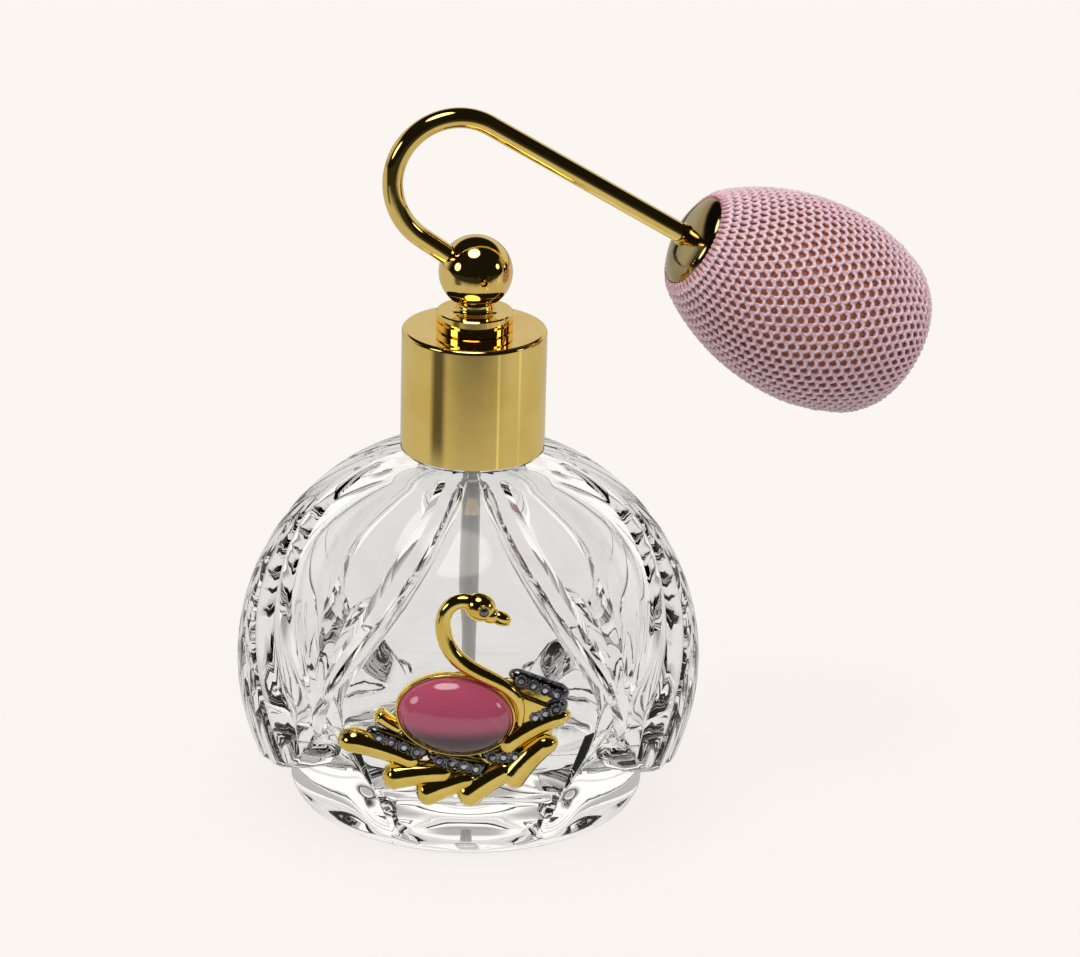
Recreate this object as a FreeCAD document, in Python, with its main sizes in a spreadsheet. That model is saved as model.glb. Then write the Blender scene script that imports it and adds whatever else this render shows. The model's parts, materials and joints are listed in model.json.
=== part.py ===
"""Perfume atomiser: a pressed glass bottle with a screwed metal head, a goose-neck air tube and a rubber bulb
in a crocheted net, with a jewelled swan on the bottle's front.

Frame: origin in the middle of the bottle's base, +Z up, -Y the front with the swan, +X towards the bulb.
Lengths are millimetres and angles are degrees.
"""
import FreeCAD, Part
import math
import os
import re

import Sketcher
from FreeCAD import Placement, Rotation, Vector

doc = FreeCAD.newDocument("perfume_atomiser")

# ---------------------------------------------------------------- driving dimensions

DRIVING = [
    # bottle
    ("body_radius", 37, "radius of the round glass body"),
    ("body_middle", 22.5, "height of the body's centre"),
    ("foot_radius", 28.3, "round foot under the body"),
    ("foot_height", 6.4, "height of the foot"),
    ("foot_edge", 2.3, "rounding of the foot's lower edge"),
    ("facet_distance", 28.5, "front and back flats, from the axis"),
    ("shoulder_radius", 11.2, "top of the shoulder, under the collar"),
    ("shoulder_top", 57.9, "height of the shoulder's top"),
    ("chamber_middle", 29, "height of the perfume chamber's centre"),
    ("chamber_half_height", 20.5, "chamber, half its height"),
    ("chamber_half_width", 31, "chamber, half its width from side to side"),
    ("chamber_half_depth", 24, "chamber, half its depth from front to back"),
    # neck finish and closure
    ("neck_radius", 7.7, "glass neck under its thread"),
    ("neck_bore", 5.8, "radius of the bore"),
    ("neck_top", 74, "height of the sealing lip"),
    ("thread_pitch", 3.175, "pitch of the neck thread"),
    ("thread_depth", 0.9, "height of the thread above the neck"),
    ("thread_start", 67, "height where the glass thread starts"),
    ("thread_turns", 1.4, "turns of the glass thread"),
    ("rib_turns", 1.25, "turns of the closure's thread"),
    ("thread_gap", 0.3, "play between the two threads"),
    ("collar_radius", 11.4, "outside of the metal collar"),
    ("collar_bottom", 58.6, "lower edge of the collar"),
    ("collar_top", 78.2, "top of the collar"),
    ("collar_wall", 0.7, "sheet thickness of the collar"),
    ("collar_plate", 1.0, "thickness of the collar's top"),
    ("collar_edge", 0.6, "rounding of the collar's top edge"),
    ("web_height", 1.3, "top web of the threaded closure"),
    ("gasket_height", 0.8, "thickness of the sealing washer"),
    ("seat_gap", 0.05, "running play between parts that turn on each other"),
    # head
    ("shank_radius", 3.6, "stem where it turns in the collar"),
    ("disc_radius", 6.03, "two discs of the stem"),
    ("disc_height", 1.25, "height of each disc"),
    ("stem_neck_radius", 3.05, "waist between discs and ball"),
    ("ball_radius", 5.8, "ball of the head"),
    ("ball_middle", 87.45, "height of the ball's centre"),
    ("jet_radius", 0.75, "outside of the liquid tube"),
    ("jet_bore", 0.35, "bore of the liquid tube"),
    ("dip_radius", 1.2, "outside of the dip tube"),
    ("dip_bore", 0.8, "bore of the dip tube"),
    ("dip_bottom", 10.5, "height of the dip tube's lower end"),
    ("nozzle_radius", 1.4, "outside of the nozzle insert"),
    ("nozzle_recess", 0.62, "mouth of the nozzle"),
    ("orifice", 0.25, "bore of the nozzle"),
    ("head_turn", 12, "turn of the whole head about the axis"),
    # goose-neck
    ("tube_radius", 1.6, "outside of the air tube"),
    ("tube_bore", 1.0, "bore of the air tube"),
    ("tube_drop", 0.3, "tube axis under the ball's centre"),
    ("tube_inset", 2.6, "start of the tube from the ball's centre"),
    ("rise_angle", 36, "slope of the tube where it leaves the ball"),
    ("rise_length", 10.8, "straight run out of the ball's centre"),
    ("rise_bend", 11.2, "radius of the first bend"),
    ("top_bend", 9.95, "radius of the bend over the top"),
    ("fall_angle", 31.6, "slope down to the bulb"),
    ("fall_length", 36.2, "straight run down to the bulb"),
    # bulb, measured along its own axis from the end of the air tube
    ("spigot_radius", 2.2, "turned spigot that the bulb sits on"),
    ("spigot_length", 7.5, "length of that spigot"),
    ("bulb_lift", 1.3, "the bulb's axis rises this much from the tube's slope"),
    ("bead_radius", 1.85, "two beads between the tube and the cup"),
    ("bead_length", 0.4, "length of each bead"),
    ("cup_radius", 7.45, "metal cup on the bulb's neck"),
    ("cup_wall", 0.5, "sheet thickness of the cup"),
    ("dome_start", 0.95, "top of the cup's dome"),
    ("cup_start", 1.6, "edge of the cup's dome, where its rim starts"),
    ("cup_end", 2.6, "end of the cup's rim"),
    ("bush_radius", 4.0, "bush inside the bulb's neck"),
    ("bush_end", 8.0, "end of that bush"),
    ("rubber_wall", 1.6, "wall of the rubber bulb"),
    ("net_height", 0.9, "thickness of the crocheted net"),
    ("bulb_neck", 6.9, "rubber at the cup's rim"),
    ("bulb_belly", 15.2, "greatest radius of the rubber"),
    ("belly_at", 26, "place of that radius"),
    ("tail_turn_at", 36, "place where the tail's tighter round starts"),
    ("tail_turn_radius", 13.2, "rubber radius there"),
    ("tail_round", 11, "radius of the tail's round"),
    ("valve_radius", 3.0, "inlet valve in the bulb's tail"),
    ("inlet_radius", 0.8, "air hole of the inlet valve"),
    ("valve_ball_radius", 1.2, "ball of the inlet valve"),
    # swan
    ("pad_height", 0.2, "adhesive between glass and swan"),
    ("plate_height", 1.6, "back plate of the swan"),
    ("stone_length", 18, "cabochon, long way"),
    ("stone_width", 13, "cabochon, short way"),
    ("stone_height", 4.6, "height of the cabochon's dome"),
    ("stone_x", -2.3, "cabochon's middle, sideways"),
    ("stone_z", 26.0, "cabochon's middle, height"),
    ("stone_tilt", 8, "tilt of the cabochon, right end down"),
    ("bezel_wall", 0.5, "band around the cabochon"),
    ("bezel_height", 2.0, "height of that band"),
    ("chaton_radius", 0.75, "small round stones"),
    ("eye_radius", 0.55, "stone of the eye"),
    ("neck_thickness", 1.35, "radius of the swan's neck"),
]

sizes = doc.addObject("Spreadsheet::Sheet", "Sizes")
for row, (alias, number, meaning) in enumerate(DRIVING, start=1):
    sizes.set(f"A{row}", meaning)
    sizes.set(f"B{row}", str(number))
    sizes.setAlias(f"B{row}", alias)
doc.recompute()
ALIASES = {alias for alias, number, meaning in DRIVING}


def bound(expression):
    """An expression on the sheet's names, as another object has to write it."""
    def full(match):
        return "Sizes." + match.group() if match.group() in ALIASES else match.group()
    return re.sub(r"[a-z][a-z_0-9]*", full, str(expression))


def number(expression):
    """What an expression on the sheet's names comes to."""
    return float(sizes.evalExpression(bound(expression)))


# ---------------------------------------------------------------- ways of making a piece

pieces = []


def body(label):
    """A new PartDesign body, which becomes one node."""
    made = doc.addObject("PartDesign::Body", label)
    made.Label = label
    pieces.append(made)
    return made


def sketch(owner, role, lift="0"):
    """An empty sketch on one of the body's origin planes, lifted along that plane's normal."""
    made = owner.newObject("Sketcher::SketchObject", owner.Label + "_sketch")
    plane = [feature for feature in owner.Origin.OriginFeatures if feature.Role == role][0]
    made.AttachmentSupport = (plane, "")
    made.MapMode = "FlatFace"
    if str(lift) != "0":
        made.setExpression("AttachmentOffset.Base.z", bound(lift))
    return made


def arc_between(start, end, radius):
    """An arc from start to end, counter-clockwise for a positive radius and clockwise for a negative one."""
    chord = end - start
    half = chord.Length / 2
    rise = math.sqrt(max(radius * radius - half * half, 0)) * (1 if radius > 0 else -1)
    left = Vector(-chord.y, chord.x, 0).normalize()
    centre = (start + end) * 0.5 + left * rise
    circle = Part.Circle(centre, Vector(0, 0, 1), abs(radius))
    if radius < 0:
        start, end = end, start
    first = math.atan2(start.y - centre.y, start.x - centre.x)
    last = math.atan2(end.y - centre.y, end.x - centre.x)
    if last < first:
        last += 2 * math.pi
    return Part.ArcOfCircle(circle, first, last)


def outline(on, corners):
    """A closed outline whose corners and arc radii are bound to the sheet.

    A corner is (across, up) and starts a straight side, or (across, up, radius) and starts an arc:
    counter-clockwise for a positive radius, clockwise for a negative one.
    """
    places = [Vector(number(corner[0]), number(corner[1]), 0) for corner in corners]
    ends = places[1:] + places[:1]
    sides = []
    for corner, start, end in zip(corners, places, ends):
        if len(corner) == 3:
            sides.append(on.addGeometry(arc_between(start, end, number(corner[2]))))
        else:
            sides.append(on.addGeometry(Part.LineSegment(start, end)))
    flipped = [len(corner) == 3 and number(corner[2]) < 0 for corner in corners]
    for index, side in enumerate(sides):
        after = (index + 1) % len(sides)
        here = 1 if flipped[index] else 2
        there = 2 if flipped[after] else 1
        on.addConstraint(Sketcher.Constraint("Coincident", side, here, sides[after], there))
    for index, (corner, place, side) in enumerate(zip(corners, places, sides)):
        point = 2 if flipped[index] else 1
        pin(on, side, point, "DistanceX", place.x, corner[0], f"across_{side}")
        pin(on, side, point, "DistanceY", place.y, corner[1], f"up_{side}")
        if len(corner) == 3:
            bind(on, Sketcher.Constraint("Radius", side, abs(number(corner[2]))), f"abs({corner[2]})",
                 f"round_{side}")
    return on


def pin(on, side, point, way, place, expression, name):
    """Holds one coordinate of a sketch point at the value of an expression."""
    if abs(place) < 1e-9:
        axis = -2 if way == "DistanceX" else -1
        on.addConstraint(Sketcher.Constraint("PointOnObject", side, point, axis))
    else:
        bind(on, Sketcher.Constraint(way, -1, 1, side, point, place), expression, name)


def bind(on, constraint, expression, name):
    """Adds a dimension to a sketch and ties it to the sheet."""
    index = on.addConstraint(constraint)
    on.renameConstraint(index, name)
    on.setExpression("Constraints." + name, bound(expression))


def ring(on, across, up, radius):
    """A circle in a sketch, bound to the sheet."""
    place = Vector(number(across), number(up), 0)
    side = on.addGeometry(Part.Circle(place, Vector(0, 0, 1), number(radius)))
    pin(on, side, 3, "DistanceX", place.x, across, f"across_{side}")
    pin(on, side, 3, "DistanceY", place.y, up, f"up_{side}")
    bind(on, Sketcher.Constraint("Radius", side, number(radius)), radius, f"round_{side}")
    return on


def feature(owner, kind, profile, **bindings):
    """A sketch-based feature whose properties are bound to the sheet."""
    made = owner.newObject("PartDesign::" + kind, owner.Label + "_" + kind)
    made.Profile = profile
    for name, expression in bindings.items():
        made.setExpression(name, bound(expression))
    return made


def turn(owner, profile, kind="Revolution"):
    """Turns an outline (radius, height) once round the vertical axis."""
    made = owner.newObject("PartDesign::" + kind, owner.Label + "_turned")
    made.Profile = profile
    made.ReferenceAxis = (profile, ["V_Axis"])
    made.Angle = 360
    return made


def turned(label, corners, place=None):
    """A turned piece: a body with one outline (radius, height) round its own vertical axis."""
    made = body(label)
    turn(made, outline(sketch(made, "XZ_Plane"), corners))
    if place:
        made.Placement = place
    return made


def primitive(owner, kind, place=None, **bindings):
    """A PartDesign primitive whose properties are bound to the sheet."""
    made = owner.newObject("PartDesign::" + kind, owner.Label + "_" + kind)
    for name, expression in bindings.items():
        made.setExpression(name, bound(expression))
    if place:
        made.Placement = place
    return made


# ---------------------------------------------------------------- bottle

def glass_bottle():
    """The round body on its foot, the threaded neck, the flats and the perfume chamber."""
    glass = body("glass_bottle")
    drape_at = number("foot_height") + 3.4
    drape_radius = math.sqrt(number("body_radius") ** 2 - (drape_at - number("body_middle")) ** 2)
    turn(glass, outline(sketch(glass, "XZ_Plane"), [
        ("0", "0"),
        ("foot_radius - foot_edge", "0", "foot_edge"),
        ("foot_radius", "foot_edge"),
        ("foot_radius", "foot_height"),
        ("foot_radius + 2.6", "foot_height + 0.5", "4.5"),
        (f"{drape_radius:.3f}", f"{drape_at:.3f}", "body_radius"),
        ("shoulder_radius", "body_middle + sqrt(body_radius^2 - shoulder_radius^2)"),
        ("shoulder_radius", "shoulder_top"),
        ("neck_radius", "shoulder_top"),
        ("neck_radius", "neck_top"),
        ("0", "neck_top"),
    ]))
    for side in (1, -1):
        facet = sketch(glass, "XZ_Plane", f"{side} * facet_distance")
        outline(facet, FACET)
        cut = feature(glass, "Pocket", facet, Length="body_radius")
        cut.Reversed = side > 0
    primitive(glass, "SubtractiveEllipsoid", Placement(Vector(0, 0, number("chamber_middle")), Rotation()),
              Radius1="chamber_half_height", Radius2="chamber_half_width", Radius3="chamber_half_depth")
    primitive(glass, "SubtractiveCylinder", Placement(Vector(0, 0, number("chamber_middle")), Rotation()),
              Radius="neck_bore", Height="neck_top")
    thread(glass, "neck_radius - 0.2", "neck_radius + thread_depth", "thread_start", 1.6, "thread_turns")
    return glass


# The flats' outline: wide at the belly, narrow at the foot, and a point under the neck.
FACET = [
    ("12.5", "foot_height - 3"),
    ("22.6", "body_middle + 1.5"),
    ("9.5", "body_middle + 23.5"),
    ("-9.5", "body_middle + 23.5"),
    ("-22.6", "body_middle + 1.5"),
    ("-12.5", "foot_height - 3"),
]


def thread(owner, root, crest, start, width, turns):
    """A thread that winds up from a height: a trapezoid from root to crest, as wide as given at its root."""
    owner.Tip = owner.Group[-1]
    doc.recompute()
    slope = width / 4
    profile = outline(sketch(owner, "XZ_Plane"), [
        (root, f"{start} - {width / 2}"),
        (crest, f"{start} - {width / 2 - slope}"),
        (crest, f"{start} + {width / 2 - slope}"),
        (root, f"{start} + {width / 2}"),
    ])
    helix = owner.newObject("PartDesign::AdditiveHelix", owner.Label + "_thread")
    helix.Profile = profile
    helix.ReferenceAxis = (profile, ["V_Axis"])
    helix.Mode = 0
    helix.setExpression("Pitch", bound("thread_pitch"))
    helix.setExpression("Height", bound(f"thread_pitch * {turns}"))
    return helix


# ---------------------------------------------------------------- closure

def collar_shell():
    """The drawn metal collar, with a hole in its top for the stem."""
    inside = "collar_radius - collar_wall"
    return turned("collar_shell", [
        (inside, "collar_bottom"),
        ("collar_radius", "collar_bottom"),
        ("collar_radius", "collar_top - collar_edge", "collar_edge"),
        ("collar_radius - collar_edge", "collar_top"),
        ("shank_radius + 0.15", "collar_top"),
        ("shank_radius + 0.15", "collar_top - collar_plate"),
        (inside, "collar_top - collar_plate"),
    ])


def closure_insert():
    """The moulded closure inside the collar: a skirt with a thread, under a web that holds the seal down."""
    insert = body("closure_insert")
    bore = "neck_radius + thread_depth + thread_gap"
    top = "collar_top - collar_plate"
    turn(insert, outline(sketch(insert, "XZ_Plane"), [
        (bore, "collar_bottom + 0.8"),
        ("collar_radius - collar_wall - 0.05", "collar_bottom + 0.8"),
        ("collar_radius - collar_wall - 0.05", top),
        ("shank_radius + 0.15", top),
        ("shank_radius + 0.15", f"{top} - web_height"),
        (bore, f"{top} - web_height"),
    ]))
    thread(insert, bore + " + 0.2", "neck_radius + thread_gap", "thread_start - thread_pitch / 2", 1.0, "rib_turns")
    return insert


def sealing_washer():
    """The soft washer on the glass lip."""
    return turned("sealing_washer", [
        ("neck_bore", "neck_top + seat_gap"),
        ("neck_radius - 0.1", "neck_top + seat_gap"),
        ("neck_radius - 0.1", "neck_top + seat_gap + gasket_height"),
        ("neck_bore", "neck_top + seat_gap + gasket_height"),
    ])


# ---------------------------------------------------------------- head

HEAD = Placement(Vector(), Rotation(Vector(0, 0, 1), number("head_turn")))


def dip_socket():
    """The moulded socket under the stem, which holds the dip tube and keeps the stem in the collar."""
    seat = "neck_top + gasket_height + 2 * seat_gap"
    flange = "collar_top - collar_plate - web_height - seat_gap"
    return turned("dip_socket", [
        ("dip_radius + 0.02", "neck_top - 10"),
        ("3.3", "neck_top - 10"),
        ("3.3", seat),
        ("neck_radius - 0.4", seat),
        ("neck_radius - 0.4", flange),
        ("2.3", flange),
        ("2.3", "collar_top + 0.8"),
        ("jet_radius + 0.02", "collar_top + 0.8"),
        ("jet_radius + 0.02", "neck_top - 2"),
        ("dip_radius + 0.02", "neck_top - 2"),
    ], HEAD)


def atomiser_stem():
    """The turned stem: a shank in the collar, two discs with a groove between them, and a waist under the ball."""
    foot = "collar_top - collar_plate - web_height - seat_gap"
    discs = "collar_top + seat_gap"
    top = f"{discs} + 2 * disc_height + 0.4"
    return turned("atomiser_stem", [
        ("2.32", foot),
        ("shank_radius", foot),
        ("shank_radius", discs),
        ("disc_radius - 0.2", discs),
        ("disc_radius", f"{discs} + 0.2"),
        ("disc_radius", f"{discs} + disc_height"),
        ("disc_radius - 0.8", f"{discs} + disc_height"),
        ("disc_radius - 0.8", f"{discs} + disc_height + 0.4"),
        ("disc_radius", f"{discs} + disc_height + 0.4"),
        ("disc_radius", f"{top} - 0.2"),
        ("disc_radius - 0.2", top),
        ("stem_neck_radius + 0.8", top, "-0.8"),
        ("stem_neck_radius", f"{top} + 0.8"),
        ("stem_neck_radius", "ball_middle - 4.75"),
        ("jet_radius + 0.02", "ball_middle - 4.75"),
        ("jet_radius + 0.02", "collar_top + 0.82"),
        ("2.32", "collar_top + 0.82"),
    ], HEAD)


def ball_head():
    """The ball, drilled from below for the stem, from the front for the nozzle and from the left for the tube."""
    ball = body("ball_head")
    primitive(ball, "AdditiveSphere", Placement(Vector(0, 0, number("ball_middle")), Rotation()),
              Radius="ball_radius")
    below = Placement(Vector(0, 0, number("ball_middle") - number("ball_radius") - 1), Rotation())
    primitive(ball, "SubtractiveCylinder", below, Radius="stem_neck_radius", Height="ball_radius + 1 - 4.75")
    primitive(ball, "SubtractiveCylinder", below, Radius="jet_radius + 0.45", Height="ball_radius + 1.6")
    front = Placement(Vector(0, 0, number("ball_middle")), Rotation(Vector(1, 0, 0), 90))
    primitive(ball, "SubtractiveCylinder", front, Radius="nozzle_radius + 0.01", Height="ball_radius + 1")
    start = Vector(0, 0, number("ball_middle") - number("tube_drop"))
    left = Placement(start, Rotation(Vector(0, 1, 0), number("rise_angle") - 90))
    primitive(ball, "SubtractiveCylinder", left, Radius="tube_radius + 0.01", Height="ball_radius + 2")
    ball.Placement = HEAD
    return ball


def liquid_tube():
    """The capillary that lifts the perfume from the dip tube into the air stream."""
    return turned("liquid_tube", [
        ("jet_bore", "neck_top - 8"),
        ("jet_radius", "neck_top - 8"),
        ("jet_radius", "ball_middle - 0.3"),
        ("jet_bore", "ball_middle - 0.3"),
    ], HEAD)


def dip_tube():
    """The clear tube down to the chamber's floor, cut square."""
    return turned("dip_tube", [
        ("dip_bore", "dip_bottom"),
        ("dip_radius", "dip_bottom"),
        ("dip_radius", "neck_top - 2"),
        ("dip_bore", "neck_top - 2"),
    ], HEAD)


def nozzle_insert():
    """The nozzle, pressed into the ball from the front."""
    lift = number("ball_middle")
    return turned("nozzle_insert", [
        ("orifice", "2.2"),
        ("nozzle_radius", "2.2"),
        ("nozzle_radius", "ball_radius - 0.1"),
        ("nozzle_recess", "ball_radius + 0.05"),
        ("nozzle_recess", "ball_radius - 0.9"),
        ("orifice", "ball_radius - 1.2"),
    ], HEAD * Placement(Vector(0, 0, lift), Rotation(Vector(1, 0, 0), 90)))


# ---------------------------------------------------------------- goose-neck

def heading(angle):
    """The unit vector at an angle above +X, in the head's own upright plane."""
    return Vector(math.cos(math.radians(angle)), 0, math.sin(math.radians(angle)))


def goose_neck_route():
    """The tube's centre line: (straight to, arc over, arc to, arc over, arc to, straight to)."""
    leave = 180 - number("rise_angle")
    fall = -number("fall_angle")
    centre = Vector(0, 0, number("ball_middle") - number("tube_drop"))
    start = centre + heading(leave) * number("tube_inset")
    bend = centre + heading(leave) * number("rise_length")
    first = bend + heading(leave - 90) * number("rise_bend")
    side = first - heading(0) * number("rise_bend")
    second = side + heading(0) * number("top_bend")
    over = second + heading(fall + 90) * number("top_bend")
    end = over + heading(fall) * number("fall_length")
    first_way = first - heading((leave - 90) / 2) * number("rise_bend")
    second_way = second + heading((180 + fall + 90) / 2) * number("top_bend")
    return start, bend, first_way, side, second_way, over, end


def goose_neck():
    """The bent air tube, swept along straight runs and two tangent bends."""
    start, bend, first_way, side, second_way, over, end = goose_neck_route()
    path = Part.Wire([
        Part.makeLine(start, bend),
        Part.Arc(bend, first_way, side).toShape(),
        Part.Arc(side, second_way, over).toShape(),
        Part.makeLine(over, end),
    ])
    leave = bend - start
    walls = [Part.Wire(Part.makeCircle(number(radius), start, leave)) for radius in ("tube_radius", "tube_bore")]
    outer, inner = [path.makePipeShell([wall], True, False) for wall in walls]
    made = doc.addObject("Part::Feature", "goose_neck_tube")
    made.Label = "goose_neck_tube"
    made.Shape = outer.cut(inner)
    section = math.pi * (number("tube_radius") ** 2 - number("tube_bore") ** 2)
    print(f"goose-neck: volume {made.Shape.Volume:.1f}, section times length {section * path.Length:.1f}")
    made.Placement = HEAD
    pieces.append(made)
    return made


# The bulb's own axis: up it is away from the air tube, and its zero is the tube's end.
BULB = HEAD * Placement(goose_neck_route()[-1],
                        Rotation(Vector(0, 1, 0), 90 + number("fall_angle") - number("bulb_lift")))


# ---------------------------------------------------------------- bulb

def tube_nipple():
    """The turned end of the air tube: a plug in its bore, two beads, and the spigot that the bulb turns on."""
    corners = [("0.6", "-4"), ("tube_bore - 0.12", "-4"), ("tube_bore - 0.12", "0.1")]
    for before in ("0.1", "0.1 + bead_length"):
        corners += [("bead_radius - 0.3", before), ("bead_radius", f"{before} + bead_length * 0.3"),
                    ("bead_radius", f"{before} + bead_length * 0.7")]
    corners += [
        ("bead_radius - 0.3", "0.1 + 2 * bead_length"),
        ("spigot_radius", "0.1 + 2 * bead_length"),
        ("spigot_radius", "spigot_length"),
        ("0.6", "spigot_length"),
    ]
    return turned("tube_nipple", corners, BULB)


def bulb_cup():
    """The domed metal cup on the bulb's neck."""
    bore = "spigot_radius + seat_gap"
    inside = "cup_radius - cup_wall"
    return turned("bulb_cup", [
        (bore, "dome_start"),
        ("cup_radius - 0.25", "cup_start - 0.2", "28"),
        ("cup_radius", "cup_start"),
        ("cup_radius", "cup_end"),
        (inside, "cup_end"),
        (inside, "cup_start + cup_wall - 0.1", "-28"),
        (bore, "dome_start + cup_wall"),
    ], BULB)


def bulb_bush():
    """The moulded bush inside the bulb's neck, which runs on the spigot."""
    start = "dome_start + 0.05 + cup_wall"
    return turned("bulb_bush", [
        ("spigot_radius + seat_gap", start),
        ("2.9", start),
        ("bush_radius - 0.4", "cup_start + 0.5"),
        ("bush_radius", "cup_start + 0.54"),
        ("bush_radius", "bush_end"),
        ("spigot_radius + seat_gap", "bush_end"),
    ], BULB)


def belly_arc(belly, at, across, up):
    """The radius of the arc from a point to the belly, where it runs along the axis."""
    away = f"({belly} - ({across}))"
    return f"({away}^2 + ({at} - ({up}))^2) / (2 * {away})"


def bulb_outline(grow, neck, start, mouth):
    """A half outline of the bulb, grown outwards: neck, belly, turn of the tail, and end of the tail."""
    lean = math.asin((number("tail_turn_at") - number("belly_at")) / number(
        belly_arc("bulb_belly", "belly_at", "tail_turn_radius", "tail_turn_at")))
    belly = f"bulb_belly + {grow}"
    turn_radius = f"tail_turn_radius + {grow} * {math.cos(lean):.5f}"
    turn_at = f"tail_turn_at + {grow} * {math.sin(lean):.5f}"
    tail_at = f"tail_turn_at - tail_round * {math.sin(lean):.5f}"
    tail_across = f"tail_turn_radius - tail_round * {math.cos(lean):.5f}"
    tail = f"{tail_at} + sqrt((tail_round + {grow})^2 - ({mouth} - ({tail_across}))^2)"
    return [
        (neck, start, belly_arc(belly, "belly_at", neck, start)),
        (belly, "belly_at", belly_arc(belly, "belly_at", turn_radius, turn_at)),
        (turn_radius, turn_at, f"tail_round + {grow}"),
        (mouth, tail),
    ]


def backwards(corners):
    """The same corners the other way round, with their arcs turned to suit."""
    radii = [corner[2] if len(corner) == 3 else None for corner in corners]
    turned_round = []
    for index in range(len(corners) - 1, -1, -1):
        across, up = corners[index][:2]
        radius = radii[index - 1] if index else None
        turned_round.append((across, up, f"-({radius})") if radius else (across, up))
    return turned_round


def rubber_bulb():
    """The rubber bulb: a neck over the bush, a round belly, and a hole in the tail for the valve."""
    mouth = "valve_radius + 0.05"
    outside = bulb_outline("0", "bulb_neck + 0.1", "cup_end + 0.1", mouth)
    inside = bulb_outline("(-rubber_wall)", "bush_radius + 4.2", "bush_end", mouth)
    return turned("rubber_bulb", [
        ("bush_radius", "cup_start + 0.55"),
        ("bulb_neck - 0.75", "cup_start + 0.55"),
        ("bulb_neck - 0.75", "cup_end + 0.1"),
    ] + outside + backwards(inside) + [("bush_radius", "bush_end")], BULB)


def net_cover():
    """The crocheted net over the rubber, drawn in under the cup's rim and closed round the tail."""
    outside = bulb_outline("net_height", "bulb_neck + net_height + 0.2", "cup_end + 0.1", "1")
    inside = bulb_outline("0.02", "bulb_neck + 0.15", "cup_end + 0.1", "1")
    return turned("net_cover", outside + backwards(inside), BULB)


def net_tie():
    """The drawstring that gathers the net's first row inside the cup's rim."""
    made = body("net_tie")
    primitive(made, "AdditiveTorus", Radius1="bulb_neck - 0.4", Radius2="0.22")
    made.Placement = BULB * Placement(Vector(0, 0, number("cup_end") - 0.24), Rotation())
    return made


# ---------------------------------------------------------------- inlet valve

def valve_marks():
    """Places along the bulb's axis: the rubber's outer face, the seat, the ball's middle and the retainer."""
    lean = math.asin((number("tail_turn_at") - number("belly_at")) / number(
        belly_arc("bulb_belly", "belly_at", "tail_turn_radius", "tail_turn_at")))
    face = number("tail_turn_at") - number("tail_round") * math.sin(lean) + number("tail_round")
    seat = face - 1.2
    reach = math.sqrt(number("valve_ball_radius") ** 2 - number("inlet_radius") ** 2)
    return face, seat, seat - reach - 0.01, seat - 3.6


def tail_valve():
    """The valve's housing in the bulb's tail, with an inner flange and a seat for the ball."""
    face, seat, ball, keeper = valve_marks()
    inner = face - number("rubber_wall") - 0.15
    return turned("tail_valve", [
        ("inlet_radius", f"{face - 0.3:.3f}"),
        ("inlet_radius", f"{seat:.3f}"),
        ("valve_ball_radius + 0.15", f"{seat:.3f}"),
        ("valve_ball_radius + 0.15", f"{keeper - 0.8:.3f}"),
        ("valve_radius - 0.8", f"{keeper - 0.8:.3f}"),
        ("valve_radius - 0.8", f"{inner - 1.1:.3f}"),
        ("valve_radius + 1.2", f"{inner - 1.1:.3f}"),
        ("valve_radius + 1.2", f"{inner:.3f}"),
        ("valve_radius", f"{inner:.3f}"),
        ("valve_radius", f"{face - 0.3:.3f}"),
    ], BULB)


def valve_ball():
    """The steel ball that closes the inlet when the bulb is squeezed."""
    made = body("valve_ball")
    primitive(made, "AdditiveSphere", Radius="valve_ball_radius")
    made.Placement = BULB * Placement(Vector(0, 0, valve_marks()[2]), Rotation())
    return made


def ball_keeper():
    """The drilled disc that keeps the ball in its housing."""
    made = body("ball_keeper")
    keeper = f"{valve_marks()[3] - 0.7:.3f}"
    disc = ring(sketch(made, "XY_Plane", keeper), "0", "0", "valve_ball_radius + 0.14")
    for turned_by in (90, 210, 330):
        hole = heading(turned_by) * 0.75
        ring(disc, f"{hole.x:.3f}" if abs(hole.x) > 1e-6 else "0", f"{hole.z:.3f}", "0.3")
    feature(made, "Pad", disc, Length="0.6")
    made.Placement = BULB
    return made


# ---------------------------------------------------------------- swan

FRONT = Rotation(Vector(1, 0, 0), 90)

# Each feather of the wing and tail: (root x, root z, tip x, tip z, width), seen from the front.
FEATHERS = [
    (-8.4, 17.4, -18.2, 20.6, 2.5),
    (-2.4, 16.0, -11.2, 14.6, 2.4),
    (1.2, 15.6, -5.9, 12.4, 2.4),
    (6.6, 17.0, 0.9, 12.4, 2.5),
    (12.0, 20.6, 7.6, 15.6, 2.4),
    (13.6, 24.8, 6.4, 20.4, 2.2),
    (-10.4, 22.8, -12.9, 25.0, 1.7),
]

# Pave bands of the wings: (left x, left z, right x, right z, stones).
PAVE = [
    (-14.4, 21.2, -7.0, 18.4, 4),
    (-4.8, 17.4, 2.4, 15.6, 4),
    (3.4, 18.0, 9.6, 18.2, 4),
    (9.8, 25.2, 13.6, 27.0, 3),
    (8.1, 32.05, 13.8, 29.55, 4),
]

# The back plate behind the stone and the wings, seen from the front.
PLATE = [("-10.6", "22"), ("-4", "17.4"), ("8", "17"), ("13", "22"), ("13.8", "28.4"), ("10", "31.4"),
         ("2", "31.6"), ("-9", "30")]

# Centre line of the swan's neck, from behind the head round to the breast.
SWAN_NECK = [(1.3, 44.3), (-4.4, 44.7), (-4.6, 38.4), (-0.2, 33.5), (5.2, 31.4), (8.8, 27.0)]


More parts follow.
